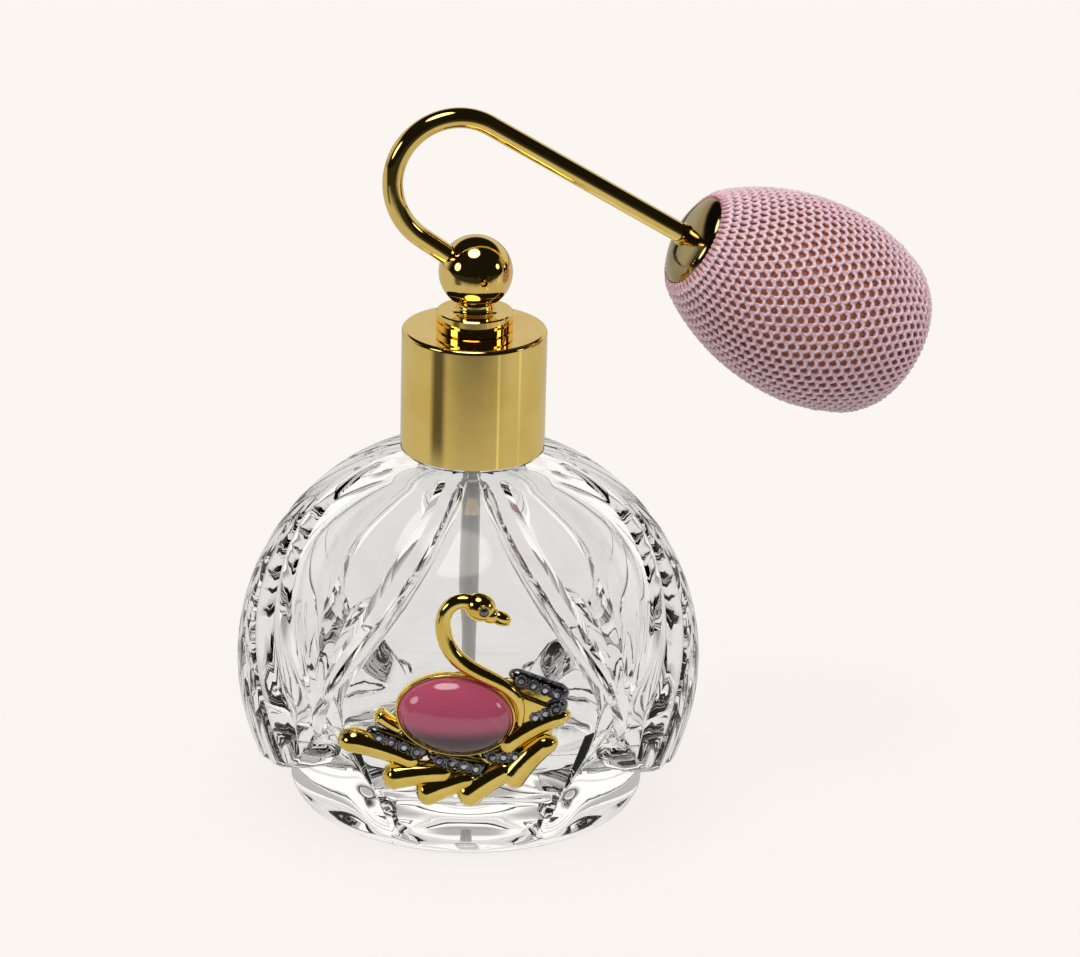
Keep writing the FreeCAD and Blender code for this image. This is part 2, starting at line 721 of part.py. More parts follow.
def stone_oval(on, grow):
    """The cabochon's outline in a front sketch, grown by a margin."""
    lean = math.radians(number("stone_tilt"))
    centre = Vector(number("stone_x"), number("stone_z"), 0)
    along, across = Vector(math.cos(lean), -math.sin(lean), 0), Vector(math.sin(lean), math.cos(lean), 0)
    on.addGeometry(Part.Ellipse(centre + along * (number("stone_length") / 2 + grow),
                                centre + across * (number("stone_width") / 2 + grow), centre))


def front_sketch(owner, lift):
    """A sketch on the front, at a distance in front of the axis. Its pads grow forwards."""
    return sketch(owner, "XZ_Plane", lift)


def capsule(on, left, right, width):
    """A long oval in a sketch: two straight sides and two half-round ends."""
    start, end = Vector(*left, 0), Vector(*right, 0)
    side = (end - start).cross(Vector(0, 0, 1)).normalize() * (width / 2)
    ends = [(start - side, start + side), (end + side, end - side)]
    for one, other in ends:
        on.addGeometry(arc_between(one, other, width / 2))
    on.addGeometry(Part.LineSegment(start + side, end + side))
    on.addGeometry(Part.LineSegment(end - side, start - side))


def plane_of_plate():
    """How far the back of the swan stands in front of the axis, as an expression."""
    return "facet_distance + pad_height"


def swan_casting():
    """The gilt casting: a back plate, the feathers, the breast, the long neck, the head and its beak."""
    swan = body("swan_casting")
    plate = front_sketch(swan, plane_of_plate())
    outline(plate, PLATE)
    feature(swan, "Pad", plate, Length="plate_height")
    for root_x, root_z, tip_x, tip_z, width in FEATHERS:
        feather = front_sketch(swan, plane_of_plate())
        capsule(feather, (root_x, root_z), (tip_x, tip_z), width)
        feature(swan, "Pad", feather, Length="plate_height + 0.9")
    level = f"{plane_of_plate()} + plate_height + neck_thickness - 0.2"
    start_x, start_z = SWAN_NECK[0]
    section = sketch(swan, "YZ_Plane", f"{start_x}")
    ring(section, f"-({level})", f"{start_z}", "neck_thickness")
    path = front_sketch(swan, level)
    for edge in bent_route(SWAN_NECK, 2.8):
        path.addGeometry(edge)
    pipe = feature(swan, "AdditivePipe", section)
    pipe.Spine = path
    depth = -number(level)
    primitive(swan, "AdditiveSphere", Placement(Vector(start_x + 0.3, depth, start_z), Rotation()),
              Radius="neck_thickness + 0.6")
    primitive(swan, "AdditiveCone", Placement(Vector(start_x + 1.2, depth, start_z - 0.3),
                                              Rotation(Vector(0, 1, 0), 115)),
              Radius1="neck_thickness - 0.2", Radius2="0.3", Height="4")
    seat = front_sketch(swan, f"{plane_of_plate()} + plate_height")
    stone_oval(seat, number("bezel_wall") + 0.03)
    cut = feature(swan, "Pocket", seat, Length="body_radius")
    cut.Reversed = True
    return swan


def bent_route(points, radius):
    """Straight runs through the points with their corners rounded to one radius."""
    places = [Vector(x, z, 0) for x, z in points]
    edges, last = [], places[0]
    for before, corner, after in zip(places, places[1:], places[2:]):
        into, out = (corner - before).normalize(), (after - corner).normalize()
        half = into.getAngle(out) / 2
        cut = radius * math.tan(half)
        first, final = corner - into * cut, corner + out * cut
        edges.append(Part.LineSegment(last, first))
        clockwise = into.cross(out).z < 0
        edges.append(arc_between(first, final, -radius if clockwise else radius))
        last = final
    edges.append(Part.LineSegment(last, places[-1]))
    return edges


def stone_place(rise):
    """The cabochon's own frame on the plate: X along the stone and Z forwards, lifted off the plate."""
    base = Vector(number("stone_x"), -number(plane_of_plate()) - rise, number("stone_z"))
    return Placement(base, Rotation(Vector(0, 1, 0), number("stone_tilt")) * FRONT)


def oval(owner, lift, length, width, height, kind="Pad"):
    """A straight-sided oval block in the stone's own frame."""
    on = sketch(owner, "XY_Plane", lift)
    ellipse = Part.Ellipse(Vector(), number(length) / 2, number(width) / 2)
    on.addGeometry(ellipse)
    return feature(owner, kind, on, Length=height)


def stone_bezel():
    """The band that holds the cabochon, standing on the swan's back plate."""
    made = body("stone_bezel")
    oval(made, "0", "stone_length + 2 * bezel_wall", "stone_width + 2 * bezel_wall", "bezel_height")
    cut = oval(made, "0.4", "stone_length + 0.04", "stone_width + 0.04", "bezel_height + 1", "Pocket")
    cut.Reversed = True
    made.Placement = stone_place(number("plate_height"))
    return made


def cabochon():
    """The domed rose glass stone."""
    made = doc.addObject("Part::Ellipsoid", "cabochon")
    made.Label = "cabochon"
    for name, expression in (("Radius1", "stone_height"), ("Radius2", "stone_length / 2"),
                             ("Radius3", "stone_width / 2")):
        made.setExpression(name, bound(expression))
    made.Angle1 = 0
    made.Placement = stone_place(number("plate_height") + 0.42)
    pieces.append(made)
    return made


def adhesive_pad():
    """The clear adhesive between the swan's back and the glass."""
    made = body("adhesive_pad")
    on = front_sketch(made, "facet_distance")
    outline(on, [("-9", "23"), ("-3", "19"), ("7", "19"), ("12", "23"), ("12.5", "28"), ("1", "30.6"), ("-8", "29.4")])
    feature(made, "Pad", on, Length="pad_height")
    return made


def stones_along(band):
    """The places of a pave band's stones, evenly spaced between its ends."""
    left_x, left_z, right_x, right_z, count = band
    for index in range(count):
        share = index / (count - 1)
        yield left_x + share * (right_x - left_x), left_z + share * (right_z - left_z)


def pave_plates():
    """The rhodium-plated bands that the small stones are set in, one solid for each band."""
    plates = []
    for index, band in enumerate(PAVE):
        plate = doc.addObject("Part::Box", f"pave_band_{index}")
        left_x, left_z, right_x, right_z, count = band
        along = Vector(right_x - left_x, 0, right_z - left_z)
        plate.Length = along.Length + 1.8
        plate.Width = 1.8
        plate.Height = 0.5
        lean = math.degrees(math.atan2(-along.z, along.x))
        turn_to = Rotation(Vector(0, 1, 0), lean) * FRONT
        start = Vector(left_x, -number(f"{plane_of_plate()} + plate_height + 0.92"), left_z)
        plate.Placement = Placement(start - turn_to.multVec(Vector(0.9, 0.9, 0)), turn_to)
        plates.append(plate)
    return group("pave_plates", plates)


def group(label, members):
    """Several separate solids kept as one node."""
    doc.recompute()
    made = doc.addObject("Part::Compound", label)
    made.Label = label
    made.Links = members
    pieces.append(made)
    return made


def pave_stones():
    """The small round stones, a flat-topped cone each."""
    stones = []
    for band in PAVE:
        for x, z in stones_along(band):
            stone = doc.addObject("Part::Cone", "chaton")
            stone.setExpression("Radius1", bound("chaton_radius"))
            stone.setExpression("Radius2", bound("chaton_radius * 0.6"))
            stone.Height = 0.5
            stone.Placement = Placement(Vector(x, -number(f"{plane_of_plate()} + plate_height + 1.44"), z), FRONT)
            stones.append(stone)
    return group("pave_stones", stones)


def eye_stone():
    """The stone in the swan's eye."""
    made = doc.addObject("Part::Cone", "eye_stone")
    made.Label = "eye_stone"
    made.setExpression("Radius1", bound("eye_radius"))
    made.setExpression("Radius2", bound("eye_radius * 0.6"))
    made.Height = 0.4
    face = number(f"{plane_of_plate()} + plate_height + 2 * neck_thickness + 0.42")
    made.Placement = Placement(Vector(SWAN_NECK[0][0] + 0.3, -face, SWAN_NECK[0][1]), FRONT)
    pieces.append(made)
    return made


# ---------------------------------------------------------------- build and write

for make in (glass_bottle, collar_shell, closure_insert, sealing_washer, dip_socket, atomiser_stem, ball_head,
             liquid_tube, dip_tube, nozzle_insert, goose_neck, tube_nipple, bulb_cup, bulb_bush, rubber_bulb,
             net_cover, net_tie, tail_valve, valve_ball, ball_keeper, adhesive_pad, swan_casting, stone_bezel,
             cabochon, pave_plates, pave_stones, eye_stone):
    make()
    doc.recompute()

doc.recompute()
for made in doc.Objects:
    if "Invalid" in made.State or "Error" in made.State:
        raise RuntimeError(f"{made.Label} could not be built: {made.State}")

os.makedirs("parts", exist_ok=True)
for made in pieces:
    if made.Shape.isNull() or not made.Shape.isValid():
        raise RuntimeError(f"{made.Label} has no valid shape")
    print(f"{made.Label}: {len(made.Shape.Solids)} solid(s), {made.Shape.Volume:.1f} mm3")
    made.Shape.exportStep(f"parts/{made.Label}.step")
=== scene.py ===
import json
import math

import bpy
import numpy as np
from mathutils import Matrix, Vector

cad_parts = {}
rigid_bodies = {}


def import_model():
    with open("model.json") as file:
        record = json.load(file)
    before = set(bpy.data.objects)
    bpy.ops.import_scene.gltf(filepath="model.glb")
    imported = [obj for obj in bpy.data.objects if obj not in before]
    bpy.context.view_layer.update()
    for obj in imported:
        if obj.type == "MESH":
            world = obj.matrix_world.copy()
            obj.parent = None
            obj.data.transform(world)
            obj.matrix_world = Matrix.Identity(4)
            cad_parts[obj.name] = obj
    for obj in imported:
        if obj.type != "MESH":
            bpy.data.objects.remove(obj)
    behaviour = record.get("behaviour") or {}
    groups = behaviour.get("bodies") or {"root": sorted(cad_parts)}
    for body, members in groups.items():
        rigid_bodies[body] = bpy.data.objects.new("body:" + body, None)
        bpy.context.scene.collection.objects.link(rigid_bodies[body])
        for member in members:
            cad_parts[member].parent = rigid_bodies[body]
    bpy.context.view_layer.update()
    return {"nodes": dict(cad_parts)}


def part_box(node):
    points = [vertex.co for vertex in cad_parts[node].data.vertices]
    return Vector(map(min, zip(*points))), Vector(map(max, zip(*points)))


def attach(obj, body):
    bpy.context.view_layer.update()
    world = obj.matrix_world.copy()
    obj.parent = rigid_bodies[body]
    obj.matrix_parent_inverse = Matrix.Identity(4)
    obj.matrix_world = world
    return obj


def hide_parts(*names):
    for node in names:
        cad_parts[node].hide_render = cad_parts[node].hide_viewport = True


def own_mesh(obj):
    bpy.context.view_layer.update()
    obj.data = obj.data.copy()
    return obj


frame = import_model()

scene = bpy.context.scene
scene.view_settings.view_transform = "Standard"
nodes = frame["nodes"]
MM = 0.001

# ---------------------------------------------------------------- view
# The camera looks slightly down on the front, with the bottle left of the middle.

VIEW_FROM = math.radians(-1.828)
VIEW_DOWN = math.radians(21.581)
VIEW_ROLL = math.radians(1.464)
VIEW_DISTANCE = 0.717004
looked_at = Vector((10.801, 0, 53.0)) * MM
towards = Vector((math.sin(VIEW_FROM) * math.cos(VIEW_DOWN), -math.cos(VIEW_FROM) * math.cos(VIEW_DOWN),
                  math.sin(VIEW_DOWN)))
bpy.ops.object.camera_add()
camera = bpy.context.object
level = Vector((0, 0, 1)).cross(towards).normalized()
upright = towards.cross(level)
across = level * math.cos(VIEW_ROLL) + upright * math.sin(VIEW_ROLL)
camera.matrix_world = Matrix((across, towards.cross(across), towards)).transposed().to_4x4()
camera.location = looked_at + towards * VIEW_DISTANCE
camera.data.lens, camera.data.sensor_width = 151.03, 36
camera.data.clip_end = 20
scene.camera = camera


# ---------------------------------------------------------------- floor and light
# A pale sheet on the table, a pale wall behind it, and soft lamps in a dim room,
# so that polished metal and glass have something dark and something bright to show.

class Wire:
    """One socket of a shader tree. Sums, products and masks are written as plain expressions."""

    def __init__(self, tree, socket=None):
        self.tree, self.socket = tree, socket

    def node(self, kind, settings, sockets, out=0):
        """Adds a node: its settings first, then a value or a Wire for each socket."""
        made = self.tree.nodes.new("ShaderNode" + kind)
        for name, value in settings.items():
            if name == "stops":
                for index, (place, colour) in enumerate(value):
                    ramp = made.color_ramp.elements
                    stop = ramp[index] if index < 2 else ramp.new(place)
                    stop.position, stop.color = place, (*colour, 1)
            else:
                setattr(made, name, value)
        for name, value in sockets.items():
            if isinstance(value, Wire):
                self.tree.links.new(value.socket, made.inputs[name])
            else:
                made.inputs[name].default_value = value
        return Wire(self.tree, made.outputs[out])

    def math(self, operation, *values):
        return self.node("Math", {"operation": operation}, dict(enumerate(values)))

    def __add__(self, other):
        return self.math("ADD", self, other)

    def __radd__(self, other):
        return self.math("ADD", other, self)

    def __sub__(self, other):
        return self.math("SUBTRACT", self, other)

    def __rsub__(self, other):
        return self.math("SUBTRACT", other, self)

    def __mul__(self, other):
        return self.math("MULTIPLY", self, other)

    def __rmul__(self, other):
        return self.math("MULTIPLY", other, self)

    def rise(self, low, high):
        """0 below low, 1 above high, smooth between them."""
        return self.node("MapRange", {"interpolation_type": "SMOOTHSTEP"},
                         {"Value": self, "From Min": low, "From Max": high})

    def blend(self, first, second):
        """A colour that goes from first to second as this goes from 0 to 1."""
        return self.node("Mix", {"data_type": "RGBA"}, {0: self, 6: first, 7: second}, 2)

    def noise(self, scale, detail=2.0, where=None):
        """Soft noise in the object's own space, in features per metre."""
        spot = where or self.node("TexCoord", {}, {}, 3)
        return self.node("TexNoise", {}, {"Vector": spot, "Scale": scale, "Detail": detail})

    def axis(self, index):
        return self.node("SeparateXYZ", {}, {0: self}, index)

    def bump(self, strength, distance):
        return self.node("Bump", {}, {"Height": self, "Strength": strength, "Distance": distance})


def rgb(*parts):
    return (*parts, 1.0)


room = bpy.data.worlds.new("dim_room")
scene.world = room
room.use_nodes = True
sky = Wire(room.node_tree)
looking = sky.node("TexCoord", {}, {}, 0)


def lamp(at, radius, strength):
    """A soft round lamp in the room, seen from the object towards at."""
    facing = sky.node("VectorMath", {"operation": "DOT_PRODUCT"},
                      {0: looking, 1: Vector(at).normalized()}, 1)
    edge = math.cos(math.radians(radius))
    return facing.rise(edge - 0.35 * (1 - edge), edge + 0.35 * (1 - edge)) * strength


wall = looking.axis(1).rise(-0.05, 0.45) * (1 - looking.axis(2).rise(0.38, 0.52)) * 0.64
lamps = (lamp((-0.10, -0.22, 0.97), 15, 8.5) + lamp((-0.88, -0.42, 0.36), 10, 6.0)
         + lamp((0.90, -0.20, 0.30), 6, 5.0))
seen = sky.node("LightPath", {}, {}, 0)
through = sky.node("LightPath", {}, {}, 6)
spread = sky.node("LightPath", {}, {}, 2)
glow = 0.010 + wall + lamps * (0.50 + 0.50 * spread - 0.44 * through)
behind = looking.axis(1).rise(-0.35, 0.35)
strength = seen * 1.0 + (1 - seen) * (glow + through * (0.42 + 0.08 * behind) + spread * 0.75)
backdrop = room.node_tree.nodes["Background"]
backdrop.inputs["Color"].default_value = rgb(0.974, 0.935, 0.895)
room.node_tree.links.new(strength.socket, backdrop.inputs["Strength"])

bpy.ops.mesh.primitive_plane_add(size=12)
table = bpy.context.object
table.name = "table"
paper = bpy.data.materials.new("pale_paper")
paper.use_nodes = True
sheet = Wire(paper.node_tree)
paper.node_tree.nodes.remove(paper.node_tree.nodes["Principled BSDF"])
place = sheet.node("TexCoord", {}, {}, 3)
bearing = sheet.math("ARCTAN2", place.axis(0), 0 - place.axis(1))


def strip(towards, wide, gain):
    """A narrow bright or dark lane on the sheet, in one direction from the bottle."""
    off = sheet.math("ABSOLUTE", bearing - towards)
    return (1 - off.rise(0.25 * wide, wide)) * gain


far = sheet.node("VectorMath", {"operation": "LENGTH"}, {0: place}, 1)
front = 1 - place.axis(1).rise(-0.06, -0.03)
lanes = 1 + front * (strip(0.67, 0.05, 0.55) + strip(1.33, 0.07, 0.45) + strip(0.1, 0.5, 0.12))
lanes = lanes - front * strip(-1.0, 0.30, 0.85) * far.rise(0.150, 0.175)
through = sheet.node("LightPath", {}, {}, 6)
near = place.axis(1).rise(-0.30, -0.10) * (1 - place.axis(1).rise(0.9, 1.4))
lit = near * (0.52 + 0.26 * through) * lanes + 0.03 + 0.42 * through * (1 - near)
aside = sheet.math("ABSOLUTE", place.axis(0)).rise(0.16, 0.42)
lit = lit * (1 - 0.55 * aside * through)
matt = sheet.node("BsdfDiffuse", {}, {"Color": rgb(0.120, 0.115, 0.110)})
glowing = sheet.node("Emission", {}, {"Color": rgb(0.974, 0.935, 0.895), "Strength": 0.865})
bright = sheet.node("AddShader", {}, {0: matt, 1: glowing})
reflected = sheet.node("Emission", {}, {"Color": rgb(1, 0.975, 0.945), "Strength": lit})
seen = sheet.node("LightPath", {}, {}, 0)
both = sheet.node("MixShader", {}, {0: seen, 1: reflected, 2: bright})
paper.node_tree.links.new(both.socket, paper.node_tree.nodes["Material Output"].inputs["Surface"])
table.data.materials.append(paper)


# ---------------------------------------------------------------- glass bottle
# Clear pressed glass: a ball on a foot, a kite-shaped flat front and back between two bars,
# smooth lenses beside them, and swept reeds round the sides that end in a scalloped drape.

def finish(name):
    """A new material, its tree as a Wire, and its main shader."""
    made = bpy.data.materials.new(name)
    made.use_nodes = True
    return made, Wire(made.node_tree), made.node_tree.nodes["Principled BSDF"]


def wear(tree, shader, value, low, high):
    """Feeds the shader's roughness between two limits from a 0 to 1 value."""
    tree.tree.links.new((low + value * (high - low)).socket, shader.inputs["Roughness"])


glass, tree, shader = finish("pressed_glass")
shader.inputs["Base Color"].default_value = rgb(0.985, 0.99, 0.988)
shader.inputs["IOR"].default_value = 1.45
shader.inputs["Transmission Weight"].default_value = 1.0
wear(tree, shader, tree.noise(90, 3).rise(0.55, 0.75), 0.0, 0.025)
tree.tree.links.new(tree.noise(55, 1).bump(0.10, 0.0006).socket, shader.inputs["Normal"])

BALL, MIDDLE = 37.0, 22.5
PANEL_FACE, PANEL_SINK = 28.5, 2.2
BAR_PROUD, BAR_SUNK = 0.6, 1.5
BACK_BARS = 0.4
GROOVE_DEPTH, GROOVE_SHARE = 1.5, 0.10
NEVER_ENDS = 80
SHOULDER, BASE_TOP = 57.7, 2.2
CHAMBER_ROUND, CHAMBER_FLAT, CHAMBER_FALL, BORE = 31.3, 24.4, 14.0, 5.8
# Lines that run down the glass on one quarter of it, as degrees round from the front at each height.
HEIGHTS = (8, 12, 16, 20, 23.5, 27, 31, 36, 40, 45, 50, 54, 57.5)
PANEL_EDGE = (24.5, 29, 32.5, 35.5, 37.5, 36, 33, 27.5, 23, 18, 12.5, 8, 3)
BAR_INNER = (25.5, 30, 33.5, 36.3, 38, 37, 35.3, 30.5, 26, 21, 15.5, 12, 9)
BAR_OUTER = (28, 32, 34.5, 37.2, 38.5, 38.2, 37.5, 34.3, 31, 27, 22.5, 19.5, 20)
LEAF_ONE = (32, 34.5, 36, 38.2, 39.2, 39.8, 41, 43.6, 45, 47, 48, 48, 48)
LEAF_TWO = (36, 37.5, 38.5, 39.5, 40, 41.3, 44.5, 49.5, 53, 57, 60, 62, 64)
LENS_EDGE = (40, 41, 41.3, 41.2, 41.2, 43, 48, 54.5, 60, 66, 72, 75, 78)
REED_ONE = (46, 46.5, 47, 48, 50.5, 55, 59.5, 65, 69.5, 78, 86, 88, 88.5)
REED_TWO = (54.5, 56, 58, 60.5, 64, 67.5, 72.5, 78.5, 82.5, 87, 88.6, 88.9, 89)
REED_THREE = (65, 66.5, 68.5, 71, 74, 78, 83, 87.5, 88.9, 89.2, 89.3, 89.4, 89.4)
REED_FOUR = (77, 78, 79.5, 81.5, 84, 87, 89, 89.4, 89.5, 89.6, 89.7, 89.7, 89.7)
SIDE = (90,) * 13
MIDLINE = (0,) * 13
LINES = [MIDLINE, PANEL_EDGE, BAR_INNER, BAR_OUTER, LEAF_ONE, LEAF_TWO, LENS_EDGE, REED_ONE, REED_TWO,
         REED_THREE, REED_FOUR, SIDE]
COLUMNS_BETWEEN = [14, 4, 12, 8, 6, 6, 9, 8, 7, 5, 4]
LEVELS = np.linspace(0, 60, 241)


def eased(line):
    """A line's angle at every level, with its corners smoothed as they are in the mould."""
    soft = np.hanning(33)[1:-1]
    drawn_out = np.pad(np.interp(LEVELS, HEIGHTS, line), 15, mode="edge")
    return np.convolve(drawn_out, soft / soft.sum(), mode="valid")


LINES = [eased(line) for line in LINES]
DRAPE_END = [11.5, 23.5, 23.0, 22.5, 21.5, 20.5, 19.0, 14.0, 11.0, 9.0, 8.2, 7.8]
REED_DEPTH = [0, 0, 0, 0.40, 0.42, 0.45, 0.60, 0.60, 0.55, 0.5, 0.5]
LEAF_TOP = [0, 0, 0, 38, 40, 41.5] + [NEVER_ENDS] * 5

bpy.ops.object.select_all(action="DESELECT")
quarter = [(line, step / count) for line, count in enumerate(COLUMNS_BETWEEN) for step in range(count)]
COLUMNS = 4 * len(quarter)
BODY_ROWS, FOOT_ROWS, BASE_ROWS, NECK_ROWS, BORE_ROWS, CHAMBER_ROWS = 132, 14, 8, 14, 6, 76
ROWS = BODY_ROWS + FOOT_ROWS + BASE_ROWS + NECK_ROWS + BORE_ROWS + CHAMBER_ROWS
bpy.ops.mesh.primitive_uv_sphere_add(segments=COLUMNS, ring_count=ROWS, radius=1)
bottle = bpy.context.object
bottle.name = "glass_bottle_shaped"
round_places = np.array([v.co for v in bottle.data.vertices])
row_of = np.rint(np.arccos(np.clip(round_places[:, 2], -1, 1)) / math.pi * ROWS).astype(int)
turned_by = np.arctan2(round_places[:, 1], round_places[:, 0])
column_of = np.rint(turned_by / (2 * math.pi) * COLUMNS).astype(int) % COLUMNS

# Each column belongs to one of four mirrored quarters, and lies a share of the way between two lines.
turn = np.arange(COLUMNS)
within = turn % len(quarter)
which = turn // len(quarter)
mirrored = (which % 2) == 1
index_in = np.where(mirrored, len(quarter) - within, within)
line_of = np.array([q[0] for q in quarter] + [len(COLUMNS_BETWEEN) - 1])[index_in]
share = np.array([q[1] for q in quarter] + [1.0])[index_in]
# The last panel column stands close to the panel's edge, so that the wall there is steep.
in_panel = line_of == 0
share = np.where(in_panel, 1 - (1 - share) ** 1.25, share)
share = np.where(in_panel & (index_in == COLUMNS_BETWEEN[0] - 1), 0.985, share)


def face_outwards():
    """Turns every face of the active piece outwards."""
    bpy.ops.object.mode_set(mode="EDIT")
    bpy.ops.mesh.select_all(action="SELECT")
    bpy.ops.mesh.normals_make_consistent(inside=False)
    bpy.ops.object.mode_set(mode="OBJECT")


def smooth(value, low, high):
    part = np.clip((value - low) / (high - low), 0, 1)
    return part * part * (3 - 2 * part)


def round_angle(column, height):
    """Degrees round from the front or back middle, for columns at heights."""
    table_of = np.array(LINES)
    low = np.array([np.interp(h, LEVELS, table_of[line_of[c]]) for c, h in zip(column, height)])
    high = np.array([np.interp(h, LEVELS, table_of[line_of[c] + 1]) for c, h in zip(column, height)])
    return low + (high - low) * share[column]


def outer_radius(column, height, degrees):
    """How far the outer surface stands from the axis at a height and an angle."""
    line, part = line_of[column], share[column]
    angle = np.radians(degrees)
    proud = np.zeros(len(column))
    crown = (4 * part * (1 - part)) ** 0.75
    # The bars are shallower at the back, so that their lines don't show through the lenses.
    share_of_depth = np.where(which[column] % 3 == 0, 1, BACK_BARS)
    width = np.zeros(len(column))
    for number in range(3, 11):
        mine = line == number
        lower = np.interp(height[mine], LEVELS, LINES[number])
        upper = np.interp(height[mine], LEVELS, LINES[number + 1])
        width[mine] = (upper - lower) / 360 * 2 * math.pi * 30
        top = LEAF_TOP[number]
        fade = 1 - smooth(height[mine], top - 6, top) if top < NEVER_ENDS else 1
        deep = REED_DEPTH[number] * smooth(width[mine], 0.8, 5.0) * fade
        deep = deep * (1 - smooth(height[mine], 54.5, 57.0))
        proud[mine] = deep * (crown[mine] - 1)
    # The lens beside the bar sits a little proud, and its edge falls into the groove along the bar.
    bar = line == 2
    fading = smooth(height, 27, 31.5) * (1 - smooth(height, 55.5, 57.3))
    rib = np.minimum(1, 4 * part * (1 - part) * 1.9) ** 0.8
    fading = fading * share_of_depth
    proud = np.where(bar, ((BAR_PROUD + BAR_SUNK) * rib - BAR_SUNK) * fading, proud)
    bevel = line == 1
    proud = np.where(bevel, (-1.5 * part ** 2 - 0.05) * fading, proud)
    lens = (line == 3) & (height > 26)
    proud = np.where(lens, proud - GROOVE_DEPTH * np.exp(-(part / GROOVE_SHARE) ** 1.5) * fading, proud)
    proud = proud - 0.35 * smooth(height, 56.0, 57.9)
    ball = np.sqrt(np.maximum((BALL + proud) ** 2 - (height - MIDDLE) ** 2, 0))
    flat = PANEL_FACE / np.cos(angle)
    sunk = np.sqrt(np.maximum((BALL - PANEL_SINK) ** 2 - (height - MIDDLE) ** 2, 1))
    flat = (flat ** -26 + sunk ** -26) ** (-1 / 26)
    merge = smooth(height, 55.3, 57.4)
    return np.where(line == 0, flat * (1 - merge) + ball * merge, ball)


def base_radius(column, height, degrees):
    """The foot's radius under the drape: round, with a flat that carries the front down."""
    angle = np.radians(degrees)
    flat = PANEL_FACE / np.cos(angle)
    corner = 2.6 * np.exp(-((degrees - 25) / 10) ** 2) * smooth(height, 1.0, 9)
    foot = 28.3 + corner + 0.10 * np.maximum(height - 6, 0)
    return np.where(line_of[column] == 0, np.minimum(flat, foot + 0.4), foot)


def window_sink(across, height):
    """The shallow framed window in the flat of the foot."""
    half = np.interp(height, (4.2, 10.2), (10.4, 13.0))
    inside = np.minimum(half - np.abs(across), np.minimum(10.2 - height, height - 4.2))
    return 0.75 * smooth(inside, -0.35, 0.45)


profile = np.zeros((ROWS + 1, COLUMNS, 3))
columns = np.arange(COLUMNS)
scallop = np.where(line_of >= 6, 1.5 * (2 * share - 1) ** 2, 0.0)
drape = np.array([DRAPE_END[line_of[c]] + (DRAPE_END[line_of[c] + 1] - DRAPE_END[line_of[c]]) * share[c]
                  for c in columns]) + scallop
drape = np.where(in_panel, DRAPE_END[0], drape)


def ring_points(radius, degrees, height):
    """Points round the axis. Quarters run from the front middle to a side and on round the back."""
    angle = np.radians(degrees)
    side, depth = radius * np.sin(angle), radius * np.cos(angle)
    sign_x = np.array([1, 1, -1, -1])[which]
    sign_y = np.array([-1, 1, 1, -1])[which]
    return np.stack([sign_x * side, sign_y * depth, height], 1)


row = 0
nominal = round_angle(columns, np.full(COLUMNS, 27.0))
opening = math.asin(BORE / CHAMBER_ROUND)
for step in range(CHAMBER_ROWS + 1):
    tilt = math.pi - (math.pi - opening) * step / CHAMBER_ROWS
    angle = np.radians(nominal)
    upper = tilt < math.pi / 2
    height = MIDDLE + (CHAMBER_ROUND if upper else CHAMBER_FALL) * math.cos(tilt)
    full = CHAMBER_ROUND * (math.sin(tilt) if upper else math.sin(tilt) ** 0.8)
    flat = CHAMBER_FLAT * min(1.0, (math.sin(tilt) / 0.9) ** (1.0 if upper else 0.8))
    radius = ((full + 1e-6) ** -8 + (flat / np.maximum(np.cos(angle), 0.01) + 1e-6) ** -8) ** -0.125
    profile[row] = ring_points(radius, nominal, np.full(COLUMNS, height))
    row += 1
bore_low = MIDDLE + CHAMBER_ROUND * math.cos(opening) + 0.1
for step in range(1, BORE_ROWS + 1):
    height = bore_low + (73.6 - bore_low) * step / BORE_ROWS
    profile[row] = ring_points(np.full(COLUMNS, BORE), nominal, np.full(COLUMNS, height))
    row += 1
NECK_LINE = [(6.2, 74.0), (7.2, 74.0), (7.7, 73.5), (7.7, 70), (7.7, 66), (7.7, 62), (7.7, 59.6), (7.8, 58.9),
             (8.2, 58.5), (8.9, 58.25), (9.6, 58.1), (10.2, 57.98), (10.6, 57.9)]
for radius, height in NECK_LINE:
    profile[row] = ring_points(np.full(COLUMNS, radius), nominal, np.full(COLUMNS, height))
    row += 1
for step in range(BODY_ROWS):
    part = step / (BODY_ROWS - 1)
    height = SHOULDER + (drape - SHOULDER) * part
    degrees = round_angle(columns, height)
    radius = outer_radius(columns, height, degrees)
    radius = radius - 0.9 * smooth(np.full(COLUMNS, part), 0.985, 1.0) * (line_of >= 6)
    profile[row] = ring_points(radius, degrees, height)
    row += 1
foot_rows = ROWS - BASE_ROWS - row
for step in range(foot_rows):
    part = (step + 1) / foot_rows
    height = drape - 0.15 - (drape - 0.15 - BASE_TOP) * part
    degrees = round_angle(columns, height)
    radius = base_radius(columns, height, degrees)
    ease = smooth(np.full(COLUMNS, part), 0.0, 0.14)
    above = outer_radius(columns, drape, round_angle(columns, drape))
    radius = above * (1 - ease) + radius * ease
    radius = np.where(in_panel, np.minimum(radius, PANEL_FACE / np.cos(np.radians(degrees))), radius)
    points = ring_points(radius, degrees, height)
    sink = np.where(in_panel, window_sink(points[:, 0], height), 0)
    points[:, 1] -= np.sign(points[:, 1]) * sink
    profile[row] = points
    row += 1
UNDER = [(27.7, 0.9), (26.6, 0.15), (25.2, 0.0), (24.2, 0.25), (20.0, 1.1), (12.0, 1.5), (5.0, 1.6)]
for radius, height in UNDER[:ROWS - row]:
    degrees = round_angle(columns, np.full(COLUMNS, 8.0))
    profile[row] = ring_points(np.full(COLUMNS, radius), degrees, np.full(COLUMNS, height))
    row += 1
profile[0] = (0, 0, 8.5)
